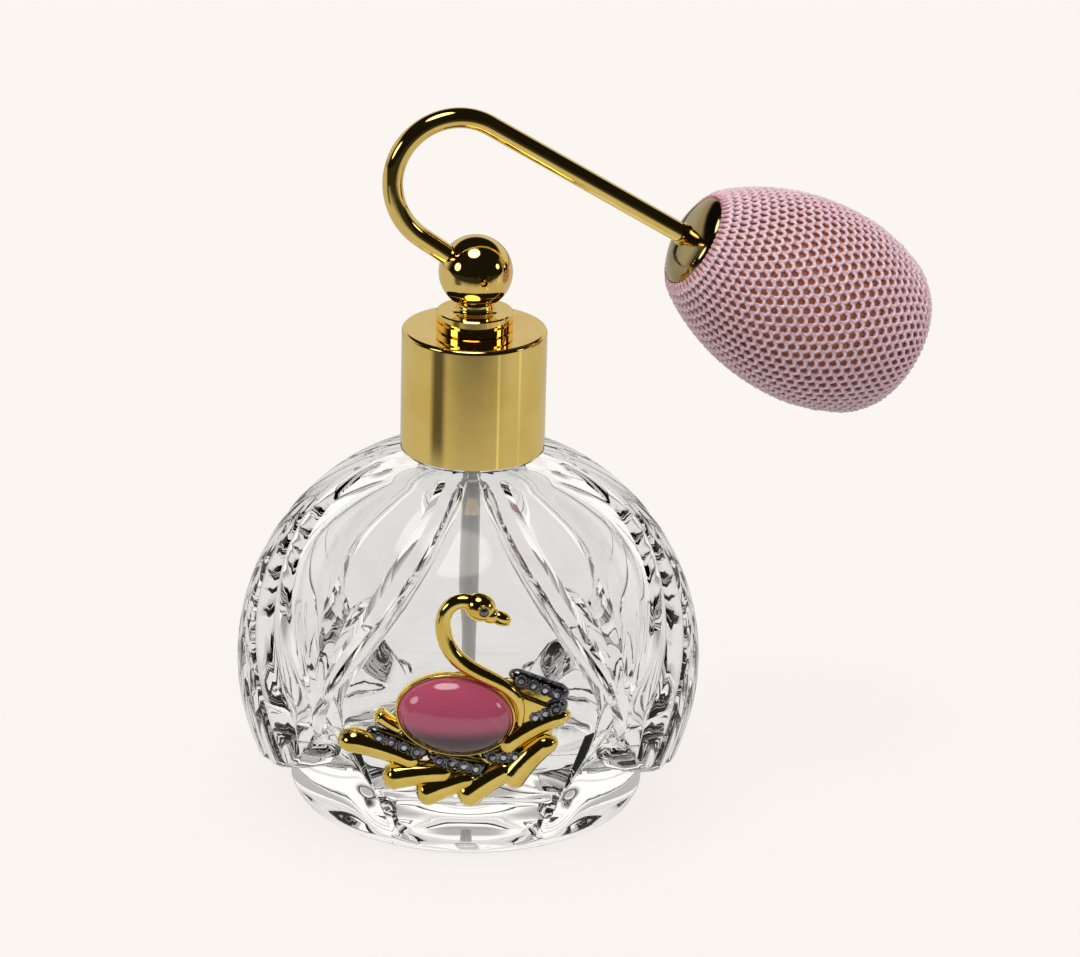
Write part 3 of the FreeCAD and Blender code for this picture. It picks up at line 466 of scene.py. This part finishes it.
profile[ROWS] = (0, 0, 1.6)
placed = profile[row_of, column_of] * MM
bottle.data.vertices.foreach_set("co", placed.astype(np.float32).ravel())
bottle.data.update()
face_outwards()
bpy.ops.object.shade_smooth_by_angle(angle=math.radians(32))
bottle.data.materials.append(glass)
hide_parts("glass_bottle")
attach(bottle, "bottle")


# ---------------------------------------------------------------- gilt fittings
# Turned and drawn brass with bright gold plate: collar, stem, ball, nozzle, air tube and its end.

def dress(material, *names):
    """Gives CAD pieces their finish."""
    for name in names:
        piece = nodes[name].data
        piece.materials.clear()
        piece.materials.append(material)


gilt, tree, shader = finish("gold_plate")
shader.inputs["Metallic"].default_value = 1.0
tint = tree.noise(140, 3).rise(0.35, 0.7).blend(rgb(1.0, 0.745, 0.235), rgb(0.95, 0.675, 0.18))
tree.tree.links.new(tint.socket, shader.inputs["Base Color"])
wear(tree, shader, tree.noise(700, 4).rise(0.4, 0.8), 0.035, 0.10)
dress(gilt, "collar_shell", "atomiser_stem", "ball_head", "goose_neck_tube", "tube_nipple", "nozzle_insert")

rhodium, tree, shader = finish("dark_rhodium")
shader.inputs["Metallic"].default_value = 1.0
tint = tree.noise(900, 2).rise(0.3, 0.7).blend(rgb(0.10, 0.10, 0.11), rgb(0.34, 0.34, 0.36))
tree.tree.links.new(tint.socket, shader.inputs["Base Color"])
shader.inputs["Roughness"].default_value = 0.16

crystal, tree, shader = finish("foiled_crystal")
shader.inputs["Metallic"].default_value = 0.9
shader.inputs["Coat Weight"].default_value = 1.0
tint = tree.noise(600, 1).rise(0.4, 0.6).blend(rgb(0.16, 0.16, 0.19), rgb(0.62, 0.65, 0.70))
tree.tree.links.new(tint.socket, shader.inputs["Base Color"])
shader.inputs["Roughness"].default_value = 0.03

rose, tree, shader = finish("rose_glass")
# Painted shade: the stone's colour falls to near black towards its bottom, for the shade and dark reflection
# in its lower part; a little noise adds random tone.
depth = tree.node("TexCoord", {}, {}, 3).axis(2).rise(0.0230, 0.0256)
tint = (depth * 0.9 + tree.noise(500, 2) * 0.1).blend(rgb(0.030, 0.008, 0.014), rgb(0.47, 0.085, 0.155))
tree.tree.links.new(tint.socket, shader.inputs["Base Color"])
shader.inputs["Roughness"].default_value = 0.03
shader.inputs["Coat Weight"].default_value = 1.0
dress(rose, "cabochon")

moulding, tree, shader = finish("natural_moulding")
tint = tree.noise(300, 2).blend(rgb(0.86, 0.86, 0.83), rgb(0.80, 0.80, 0.77))
tree.tree.links.new(tint.socket, shader.inputs["Base Color"])
shader.inputs["Roughness"].default_value = 0.42
dress(moulding, "closure_insert", "dip_socket", "bulb_bush", "tail_valve", "ball_keeper")

hose, tree, shader = finish("clear_tubing")
tint = tree.noise(200, 2).blend(rgb(0.95, 0.95, 0.94), rgb(0.90, 0.90, 0.89))
tree.tree.links.new(tint.socket, shader.inputs["Base Color"])
shader.inputs["Transmission Weight"].default_value = 0.25
shader.inputs["Roughness"].default_value = 0.25
dress(hose, "dip_tube", "adhesive_pad", "sealing_washer", "liquid_tube", "valve_ball")

# ---------------------------------------------------------------- squeeze bulb
# A moulded bulb of tan rubber, drawn over the bush in the cup. Its shape is read off the frame's own piece.

BULB_FOOT = Vector((31.929, 6.787, 92.065)) * MM
BULB_AXIS = Vector((0.844528, 0.179510, -0.504528)).normalized()
bulb_side = BULB_AXIS.cross(Vector((0, 0, 1))).normalized()
bulb_up = bulb_side.cross(BULB_AXIS)


def outline_of(name):
    """The outer line of a round piece on the bulb's axis: distances along it and radii, in metres."""
    spots = np.array([v.co for v in nodes[name].data.vertices]) - np.array(BULB_FOOT)
    along = spots @ np.array(BULB_AXIS)
    out = np.linalg.norm(spots - np.outer(along, np.array(BULB_AXIS)), axis=1)
    stations = np.linspace(along.min(), along.max(), 90)
    reach = [out[np.abs(along - s) < 0.0006].max(initial=0) for s in stations]
    return stations, np.array(reach)


def on_bulb(along, radius, turned):
    """A point round the bulb's axis."""
    side = bulb_side * math.cos(turned) + bulb_up * math.sin(turned)
    return BULB_FOOT + BULB_AXIS * along + side * radius


rubber, tree, shader = finish("tan_rubber")
tint = tree.noise(450, 3).rise(0.3, 0.7).blend(rgb(0.62, 0.23, 0.11), rgb(0.74, 0.33, 0.17))
tree.tree.links.new(tint.socket, shader.inputs["Base Color"])
wear(tree, shader, tree.noise(900, 2), 0.42, 0.62)
bpy.ops.mesh.primitive_uv_sphere_add(segments=64, ring_count=48, radius=1)
bulb = bpy.context.object
bulb.name = "rubber_bulb_shaped"
stations, reach = outline_of("rubber_bulb")
end = stations[-1]
for vertex in bulb.data.vertices:
    low = (1 - vertex.co.z) / 2
    along = stations[0] + (end - stations[0]) * low ** 0.9
    out = float(np.interp(along, stations, reach))
    if low > 0.97:
        out *= math.sqrt(max(0.0, (1 - low) / 0.03))
    if low < 0.004:
        out = 0
    vertex.co = on_bulb(along, out, math.atan2(vertex.co.y, vertex.co.x))
bpy.ops.object.shade_smooth()
bulb.data.materials.append(rubber)
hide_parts("rubber_bulb")
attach(bulb, "bulb")
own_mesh(bulb)


# The cup: a thin pressing in brass a little rougher than the gilt and painted dark as painted shade for the
# dark reflections it shows, domed, with a rolled rim that hides the net's first round.
# Its line is given as radius and distance along the bulb's axis.
CUP_LINE = [(1.95, 0.75), (2.3, 0.80), (3.2, 0.90), (4.2, 1.06), (5.2, 1.32), (6.1, 1.66), (6.8, 2.02),
            (7.22, 2.36), (7.40, 2.64), (7.45, 2.80), (7.38, 2.94), (7.2, 2.98), (6.9, 2.85), (6.5, 2.5),
            (5.4, 2.0), (4.0, 1.6), (2.4, 1.4), (1.95, 1.35)]
bpy.ops.object.select_all(action="DESELECT")
cup_mesh = bpy.data.meshes.new("cup_line")
cup_mesh.from_pydata([on_bulb(along * MM, radius * MM, 0) for radius, along in CUP_LINE],
                     [(i, (i + 1) % len(CUP_LINE)) for i in range(len(CUP_LINE))], [])
cup = bpy.data.objects.new("bulb_cup_domed", cup_mesh)
scene.collection.objects.link(cup)
cup.select_set(True)
bpy.context.view_layer.objects.active = cup
bpy.ops.object.mode_set(mode="EDIT")
bpy.ops.mesh.select_all(action="SELECT")
bpy.ops.mesh.spin(steps=96, angle=2 * math.pi, center=BULB_FOOT, axis=BULB_AXIS)
bpy.ops.mesh.select_all(action="SELECT")
bpy.ops.mesh.remove_doubles(threshold=0.00001)
bpy.ops.mesh.normals_make_consistent(inside=False)
bpy.ops.object.mode_set(mode="OBJECT")
bpy.ops.object.shade_smooth_by_angle(angle=math.radians(60))
brass, tree, shader = finish("brass_painted_dark")
shader.inputs["Metallic"].default_value = 1.0
# Painted shade: a dark olive brass colour, standing in for the dark reflections the cup shows.
tint = tree.noise(180, 3).rise(0.35, 0.7).blend(rgb(0.50, 0.40, 0.19), rgb(0.36, 0.27, 0.12))
tree.tree.links.new(tint.socket, shader.inputs["Base Color"])
wear(tree, shader, tree.noise(500, 4).rise(0.4, 0.8), 0.06, 0.16)
cup.data.materials.append(brass)
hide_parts("bulb_cup")
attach(cup, "bulb")


# ---------------------------------------------------------------- crocheted net
# Bright rose yarn worked in rounds of open arches, each hooked over the two legs of the next round.
# One arch is shaped, then laid along every round from the cup to the closed end.

yarn, tree, shader = finish("rose_yarn")
ply = tree.noise(2600, 2)
# Painted highlight and shade: the stored crown value turns the yarn near white where it faces outwards and
# stands high on its arch, and deep red elsewhere; the ply noise adds random tone.
crown = tree.node("Attribute", {"attribute_name": "crown"}, {}, 2)
tint = (ply.rise(0.35, 0.65) * 0.30 + crown * 0.75).blend(rgb(0.50, 0.055, 0.13), rgb(1.0, 0.82, 0.91))
tree.tree.links.new(tint.socket, shader.inputs["Base Color"])
shader.inputs["Sheen Weight"].default_value = 0.5
shader.inputs["Specular IOR Level"].default_value = 1.0
shader.inputs["Roughness"].default_value = 0.24
tree.tree.links.new(ply.bump(0.7, 0.00025).socket, shader.inputs["Normal"])

YARN = 0.00033
ARCH = [(-0.42, -0.30, 0.0), (-0.49, 0.22, 0.45), (-0.36, 0.72, 0.95), (0.0, 0.98, 1.15), (0.36, 0.72, 0.95),
        (0.49, 0.22, 0.45), (0.42, -0.30, 0.0)]
bpy.ops.object.select_all(action="DESELECT")
bpy.ops.mesh.primitive_circle_add(vertices=5, radius=1, fill_type="NGON")
arch = bpy.context.object
bpy.ops.object.mode_set(mode="EDIT")
for step in range(len(ARCH) - 1):
    bpy.ops.mesh.extrude_region_move(TRANSFORM_OT_translate={"value": (0, 0, 1)})
bpy.ops.object.mode_set(mode="OBJECT")
arch_spots = np.array([v.co for v in arch.data.vertices])
arch_faces = [tuple(face.vertices) for face in arch.data.polygons]
bpy.data.objects.remove(arch)
step_of = np.rint(arch_spots[:, 2]).astype(int)

net_line, net_reach = outline_of("net_cover")
rubber_line, rubber_reach = outline_of("rubber_bulb")
fine = np.linspace(net_line[0] + 0.0004, net_line[-1] - 0.00035, 600)
fine_reach = np.interp(fine, rubber_line, rubber_reach) + 0.00012
beyond = fine > rubber_line[-1] - 0.002
inside_net = np.interp(fine, net_line, net_reach) - 0.0007
fine_reach = np.where(beyond, np.minimum(fine_reach, inside_net), fine_reach)
# The last rounds draw in over the closed end.
fine_reach = np.maximum(fine_reach, 0) * np.sqrt(np.clip((fine[-1] - fine) / 0.0018, 0.004, 1))
run = np.concatenate([[0], np.cumsum(np.hypot(np.diff(fine), np.diff(fine_reach)))])
ROUND_RISE = 0.00142
rounds = int(run[-1] / ROUND_RISE)
spots, faces, painted_highlights = [], [], []
shift = 0.0
for number in range(rounds):
    middle = number * ROUND_RISE
    along, radius = float(np.interp(middle, run, fine)), float(np.interp(middle, run, fine_reach))
    ahead, ahead_radius = (float(np.interp(middle + ROUND_RISE, run, fine)),
                           float(np.interp(middle + ROUND_RISE, run, fine_reach)))
    slope = Vector((ahead - along, ahead_radius - radius)).normalized()
    count = 54 if radius > 0.0072 or number < 10 else 27 if radius > 0.0036 else 14
    shift = 0.5 if shift == 0.0 else 0.0
    for stitch in range(count):
        base = len(spots)
        for spot, step in zip(arch_spots, step_of):
            u, v, lift = ARCH[step]
            before, after = ARCH[max(step - 1, 0)], ARCH[min(step + 1, len(ARCH) - 1)]
            width = 2 * math.pi * radius / count
            lead = Vector(((after[0] - before[0]) * width, (after[1] - before[1]) * ROUND_RISE)).normalized()
            aside = spot[0] * YARN
            up = spot[1] * YARN
            here_u = u * width + aside * lead.y
            here_v = v * ROUND_RISE - aside * lead.x
            level_out = radius + here_v * slope.y + (lift * 0.00038 + 0.0001 + up) * slope.x
            level_on = along + here_v * slope.x - (lift * 0.00038 + 0.0001 + up) * slope.y
            turned = (stitch + shift) * 2 * math.pi / count + here_u / max(radius, 0.001)
            spots.append(on_bulb(level_on, level_out, turned))
            # Painted highlight: how much each point of the yarn is whitened, from how far it faces outwards
            # and how high it stands on the arch.
            painted_highlights.append((0.5 + 0.5 * spot[1]) * (0.30 + 0.62 * lift))
        faces += [tuple(base + corner for corner in face) for face in arch_faces]
mesh = bpy.data.meshes.new("crocheted_net")
mesh.from_pydata(spots, [], faces)
mesh.attributes.new("crown", "FLOAT", "POINT").data.foreach_set("value", painted_highlights)
net = bpy.data.objects.new("crocheted_net", mesh)
scene.collection.objects.link(net)
for piece in scene.objects:
    piece.select_set(False)
bpy.context.view_layer.objects.active = net
net.select_set(True)
bpy.ops.object.shade_smooth()
face_outwards()
net.data.materials.append(yarn)
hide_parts("net_cover")
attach(net, "bulb")
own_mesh(net)

# The drawn tie: three turns of the same yarn that hold the net's first round on the neck of the bulb.
tie_spots = np.array([v.co for v in nodes["net_tie"].data.vertices]) - np.array(BULB_FOOT)
tie_along = tie_spots @ np.array(BULB_AXIS)
tie_out = np.linalg.norm(tie_spots - np.outer(tie_along, np.array(BULB_AXIS)), axis=1)
tie_turn = (tie_along.max() - tie_along.min()) / 6
turns = []
for number in range(3):
    centre = BULB_FOOT + BULB_AXIS * (tie_along.min() + tie_turn * (2 * number + 1))
    bpy.ops.mesh.primitive_torus_add(major_radius=tie_out.max() - tie_turn, minor_radius=tie_turn,
                                     major_segments=72, minor_segments=8, location=centre,
                                     rotation=BULB_AXIS.to_track_quat("Z", "Y").to_euler())
    turns.append(bpy.context.object)
for one in turns:
    one.select_set(True)
bpy.context.view_layer.objects.active = turns[0]
bpy.ops.object.join()
tie = bpy.context.object
tie.name = "net_tie_wound"
bpy.ops.object.transform_apply()
bpy.ops.object.shade_smooth()
tie.data.materials.append(yarn)
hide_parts("net_tie")
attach(tie, "bulb")


# ---------------------------------------------------------------- swan
# A gold-plated casting stuck to the front flat: a back plate, six fat feathers and a curl,
# the breast, a long neck, and a small head with its beak. It is cast in one.

STUCK_AT = -28.7
casting, tree, shader = finish("gilt_casting")
shader.inputs["Metallic"].default_value = 1.0
tint = tree.noise(260, 3).rise(0.35, 0.7).blend(rgb(1.0, 0.76, 0.20), rgb(0.95, 0.66, 0.13))
tree.tree.links.new(tint.socket, shader.inputs["Base Color"])
wear(tree, shader, tree.noise(800, 4).rise(0.4, 0.8), 0.05, 0.13)
tree.tree.links.new(tree.noise(420, 2).bump(0.15, 0.0004).socket, shader.inputs["Normal"])


def ball(at, size, lean=0.0, segments=28, rings=16):
    """A round lump at (x, y, z), in millimetres, stretched to a size and leaning in the front view."""
    bpy.ops.mesh.primitive_uv_sphere_add(segments=segments, ring_count=rings, radius=1,
                                         location=Vector(at) * MM, rotation=(0, -lean, 0),
                                         scale=Vector(size) * MM)
    made = bpy.context.object
    bpy.ops.object.transform_apply()
    bpy.ops.object.shade_smooth()
    return made


def feather(root, tip, wide, tall, bow=0.0):
    """A fat feather from root to tip in the front view: round-ended, crowned, wider to the tip."""
    start, end = Vector(root), Vector(tip)
    length = (end - start).length
    lean = (end - start).normalized()
    sideways = Vector((-lean.y, lean.x))
    bpy.ops.mesh.primitive_uv_sphere_add(segments=28, ring_count=24, radius=1)
    made = bpy.context.object
    for vertex in made.data.vertices:
        low = (1 - vertex.co.z) / 2
        edge = math.sqrt(max(vertex.co.x ** 2 + vertex.co.y ** 2, 0))
        plump = (0.76 + 0.24 * low) * min(1.0, edge * 1.45) ** 0.8
        round_part = math.atan2(vertex.co.y, vertex.co.x)
        across_it = math.cos(round_part) * plump * wide / 2
        up = max(math.sin(round_part), -0.05)
        bend = bow * 4 * low * (1 - low)
        flat = start + lean * (low * length) + sideways * (across_it + bend)
        vertex.co = Vector((flat.x, STUCK_AT - (0.9 + plump * tall * up), flat.y)) * MM
    bpy.ops.object.shade_smooth()
    return made


def drawn(name, points, thick):
    """A round bar along points (x, y, z) whose half-thickness varies, all in millimetres."""
    line = bpy.data.curves.new(name, "CURVE")
    line.dimensions, line.resolution_u, line.bevel_depth, line.bevel_resolution = "3D", 10, MM, 7
    line.use_fill_caps = True
    spline = line.splines.new("NURBS")
    spline.points.add(len(points) - 1)
    for point, spot, size in zip(spline.points, points, thick):
        point.co, point.radius = (*(Vector(spot) * MM), 1), size
    spline.order_u, spline.use_endpoint_u = 4, True
    made = bpy.data.objects.new(name, line)
    scene.collection.objects.link(made)
    bpy.ops.object.select_all(action="DESELECT")
    made.select_set(True)
    bpy.context.view_layer.objects.active = made
    bpy.ops.object.convert(target="MESH")
    bpy.ops.object.shade_smooth()
    return bpy.context.object


def plate(points, thick, depth):
    """A flat cast plate with an eased rim, from its corners in the front view."""
    shape = bpy.data.meshes.new("plate")
    shape.from_pydata([Vector((x, STUCK_AT, z)) * MM for x, z in points], [], [tuple(range(len(points)))])
    made = bpy.data.objects.new("plate", shape)
    scene.collection.objects.link(made)
    bpy.ops.object.select_all(action="DESELECT")
    made.select_set(True)
    bpy.context.view_layer.objects.active = made
    bpy.ops.object.mode_set(mode="EDIT")
    bpy.ops.mesh.select_all(action="SELECT")
    bpy.ops.mesh.extrude_region_move(TRANSFORM_OT_translate={"value": (0, -thick * MM, 0)})
    bpy.ops.mesh.select_all(action="SELECT")
    bpy.ops.mesh.normals_make_consistent(inside=False)
    bpy.ops.object.mode_set(mode="OBJECT")
    modifier = made.modifiers.new("rim", "BEVEL")
    modifier.width, modifier.segments, modifier.limit_method = depth * MM, 3, "ANGLE"
    bpy.ops.object.modifier_apply(modifier=modifier.name)
    bpy.ops.object.shade_smooth_by_angle(angle=math.radians(40))
    return made


def joined(name, parts):
    """Several cast or set pieces as one."""
    bpy.ops.object.select_all(action="DESELECT")
    for one in parts:
        one.select_set(True)
    bpy.context.view_layer.objects.active = parts[0]
    bpy.ops.object.join()
    made = bpy.context.object
    made.name = made.data.name = name
    return made


BACK_PLATE = [(-10.6, 22), (-4, 17.2), (8, 17), (12.6, 21.4), (13.4, 28.2), (10, 31.0), (2, 31.4), (-9, 30)]
BREAST = [(4.6, 31.6), (8.4, 29.2), (12.2, 27.6), (10.4, 25.4), (8.0, 24.6), (7.4, 27.0)]
cast = [plate(BACK_PLATE, 1.5, 0.4)]
FEATHERS = [((-7.4, 17.0), (-20.3, 21.5), 4.4, 2.7, -0.6), ((-2.2, 15.8), (-13.4, 14.6), 4.8, 2.7, -0.4),
            ((1.4, 15.2), (-8.0, 11.6), 4.8, 2.7, -0.3), ((7.4, 17.2), (-1.4, 11.0), 5.0, 2.8, -0.4),
            ((13.2, 22.0), (5.9, 13.8), 4.9, 2.8, -0.7), ((15.4, 26.2), (4.4, 19.8), 4.4, 2.7, -0.8),
            ((-10.2, 22.8), (-14.6, 25.9), 2.7, 2.1, 0.2)]
for root, tip, wide, tall, bow in FEATHERS:
    cast.append(feather(root, tip, wide, tall, bow))
NECK_AT = -31.4
NECK = [(1.4, 0, 44.2, 1.35), (-0.6, 0, 45.4, 1.2), (-3.0, 0, 45.2, 1.15), (-4.7, 0, 42.6, 1.2),
        (-4.3, 0, 38.8, 1.3), (-2.5, 0, 35.6, 1.32), (0.6, 0, 33.4, 1.3), (4.0, 0, 31.9, 1.2),
        (6.9, 0.1, 29.9, 1.0), (8.1, 0.3, 27.2, 0.75), (7.7, 0.5, 24.4, 0.5)]
cast.append(drawn("neck", [(x, NECK_AT + back, z) for x, back, z, size in NECK], [spot[3] for spot in NECK]))
cast.append(ball((1.2, NECK_AT, 44.2), (2.5, 2.1, 2.2), -0.4))
cast.append(ball((2.6, NECK_AT - 0.1, 43.1), (1.7, 1.5, 1.4), -0.5))
cast.append(ball((4.5, NECK_AT - 0.1, 42.65), (1.6, 1.2, 0.90), -0.45))
cast.append(ball((4.3, NECK_AT - 0.1, 41.85), (1.5, 1.0, 0.50), -0.25))
cast.append(plate(BREAST, 2.6, 0.35))
swan = joined("swan_cast", cast)
swan.data.materials.clear()
swan.data.materials.append(casting)
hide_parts("swan_casting")
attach(swan, "bottle")


# The bezel: a thin oval wall of gilt strip, rubbed over the edge of the stone.
stone_low, stone_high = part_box("cabochon")
stone_mid = (stone_low + stone_high) / 2
bpy.ops.mesh.primitive_torus_add(major_radius=1, minor_radius=0.06, major_segments=96, minor_segments=12)
bezel = bpy.context.object
for vertex in bezel.data.vertices:
    flat = Vector((vertex.co.x, vertex.co.y))
    out = flat.length - 1
    lean = flat.normalized()
    around = Vector((lean.x * (9.12 + out * 5.0), lean.y * (6.62 + out * 5.0)))
    slant = math.radians(-8)
    x = around.x * math.cos(slant) - around.y * math.sin(slant)
    z = around.x * math.sin(slant) + around.y * math.cos(slant)
    vertex.co = Vector((stone_mid.x + x * MM, (STUCK_AT - 2.0 + vertex.co.z * 16) * MM, stone_mid.z + z * MM))
face_outwards()
bpy.ops.object.shade_smooth()
bezel.name = "stone_bezel_rubbed"
bezel.data.materials.append(casting)
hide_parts("stone_bezel")
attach(bezel, "bottle")


# ---------------------------------------------------------------- wings set with stones
# Five narrow bands of dark rhodium, each a row of small round stones in thin collets with a claw between.

BANDS = [((-15.0, 22.4), (-7.2, 19.3), 4), ((-5.6, 18.5), (2.0, 16.7), 4), ((2.6, 18.9), (9.7, 19.2), 4),
         ((9.2, 25.4), (14.0, 27.6), 3), ((6.8, 32.3), (14.2, 29.3), 4)]
settings, stones = [], []
bpy.ops.object.select_all(action="DESELECT")
for left, right, count in BANDS:
    start, end = Vector(left), Vector(right)
    lean = (end - start).normalized()
    face = STUCK_AT - 2.60
    bed = feather(tuple(start - lean * 1.0), tuple(end + lean * 1.0), 2.95, 1.6)
    settings.append(bed)
    for number in range(count):
        spot = start + (end - start) * ((number + 0.5) / count)
        at = Vector((spot.x, face, spot.y)) * MM
        bpy.ops.mesh.primitive_torus_add(major_radius=0.84 * MM, minor_radius=0.13 * MM, major_segments=24,
                                         minor_segments=8, location=at, rotation=(math.pi / 2, 0, 0))
        bpy.ops.object.transform_apply()
        bpy.ops.object.shade_smooth()
        settings.append(bpy.context.object)
        bpy.ops.mesh.primitive_cone_add(vertices=8, radius1=0.75 * MM, radius2=0.40 * MM, depth=0.34 * MM,
                                        location=at + Vector((0, -0.15, 0)) * MM,
                                        rotation=(math.pi / 2, 0, 0))
        bpy.ops.object.transform_apply()
        stones.append(bpy.context.object)
        for side in (-1, 1):
            bead = spot + lean * (0.5 * (end - start).length / count)
            bead = bead + Vector((-lean.y, lean.x)) * side * 0.62
            settings.append(ball((bead.x, face - 0.1, bead.y), (0.24, 0.24, 0.24), 0, 10, 6))
wings = joined("stone_settings", settings)
wings.data.materials.clear()
wings.data.materials.append(rhodium)
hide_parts("pave_plates")
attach(wings, "bottle")
stones = joined("small_stones", stones)
stones.data.materials.clear()
stones.data.materials.append(crystal)
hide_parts("pave_stones")
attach(stones, "bottle")

# The eye: a small dark stone, domed, in a round gold collet.
EYE = Vector((1.75, NECK_AT - 1.98, 44.3))
bpy.ops.mesh.primitive_torus_add(major_radius=0.86 * MM, minor_radius=0.20 * MM, major_segments=32,
                                 minor_segments=10, location=EYE * MM, rotation=(math.pi / 2, 0, 0))
collet = bpy.context.object
bpy.ops.object.transform_apply()
bpy.ops.object.shade_smooth()
collet.name = "eye_collet"
collet.data.materials.append(casting)
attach(collet, "bottle")
eye = ball(EYE, (0.70, 0.42, 0.70))
eye.name = "eye_stone_domed"
eye.data.materials.append(crystal)
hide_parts("eye_stone")
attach(eye, "bottle")
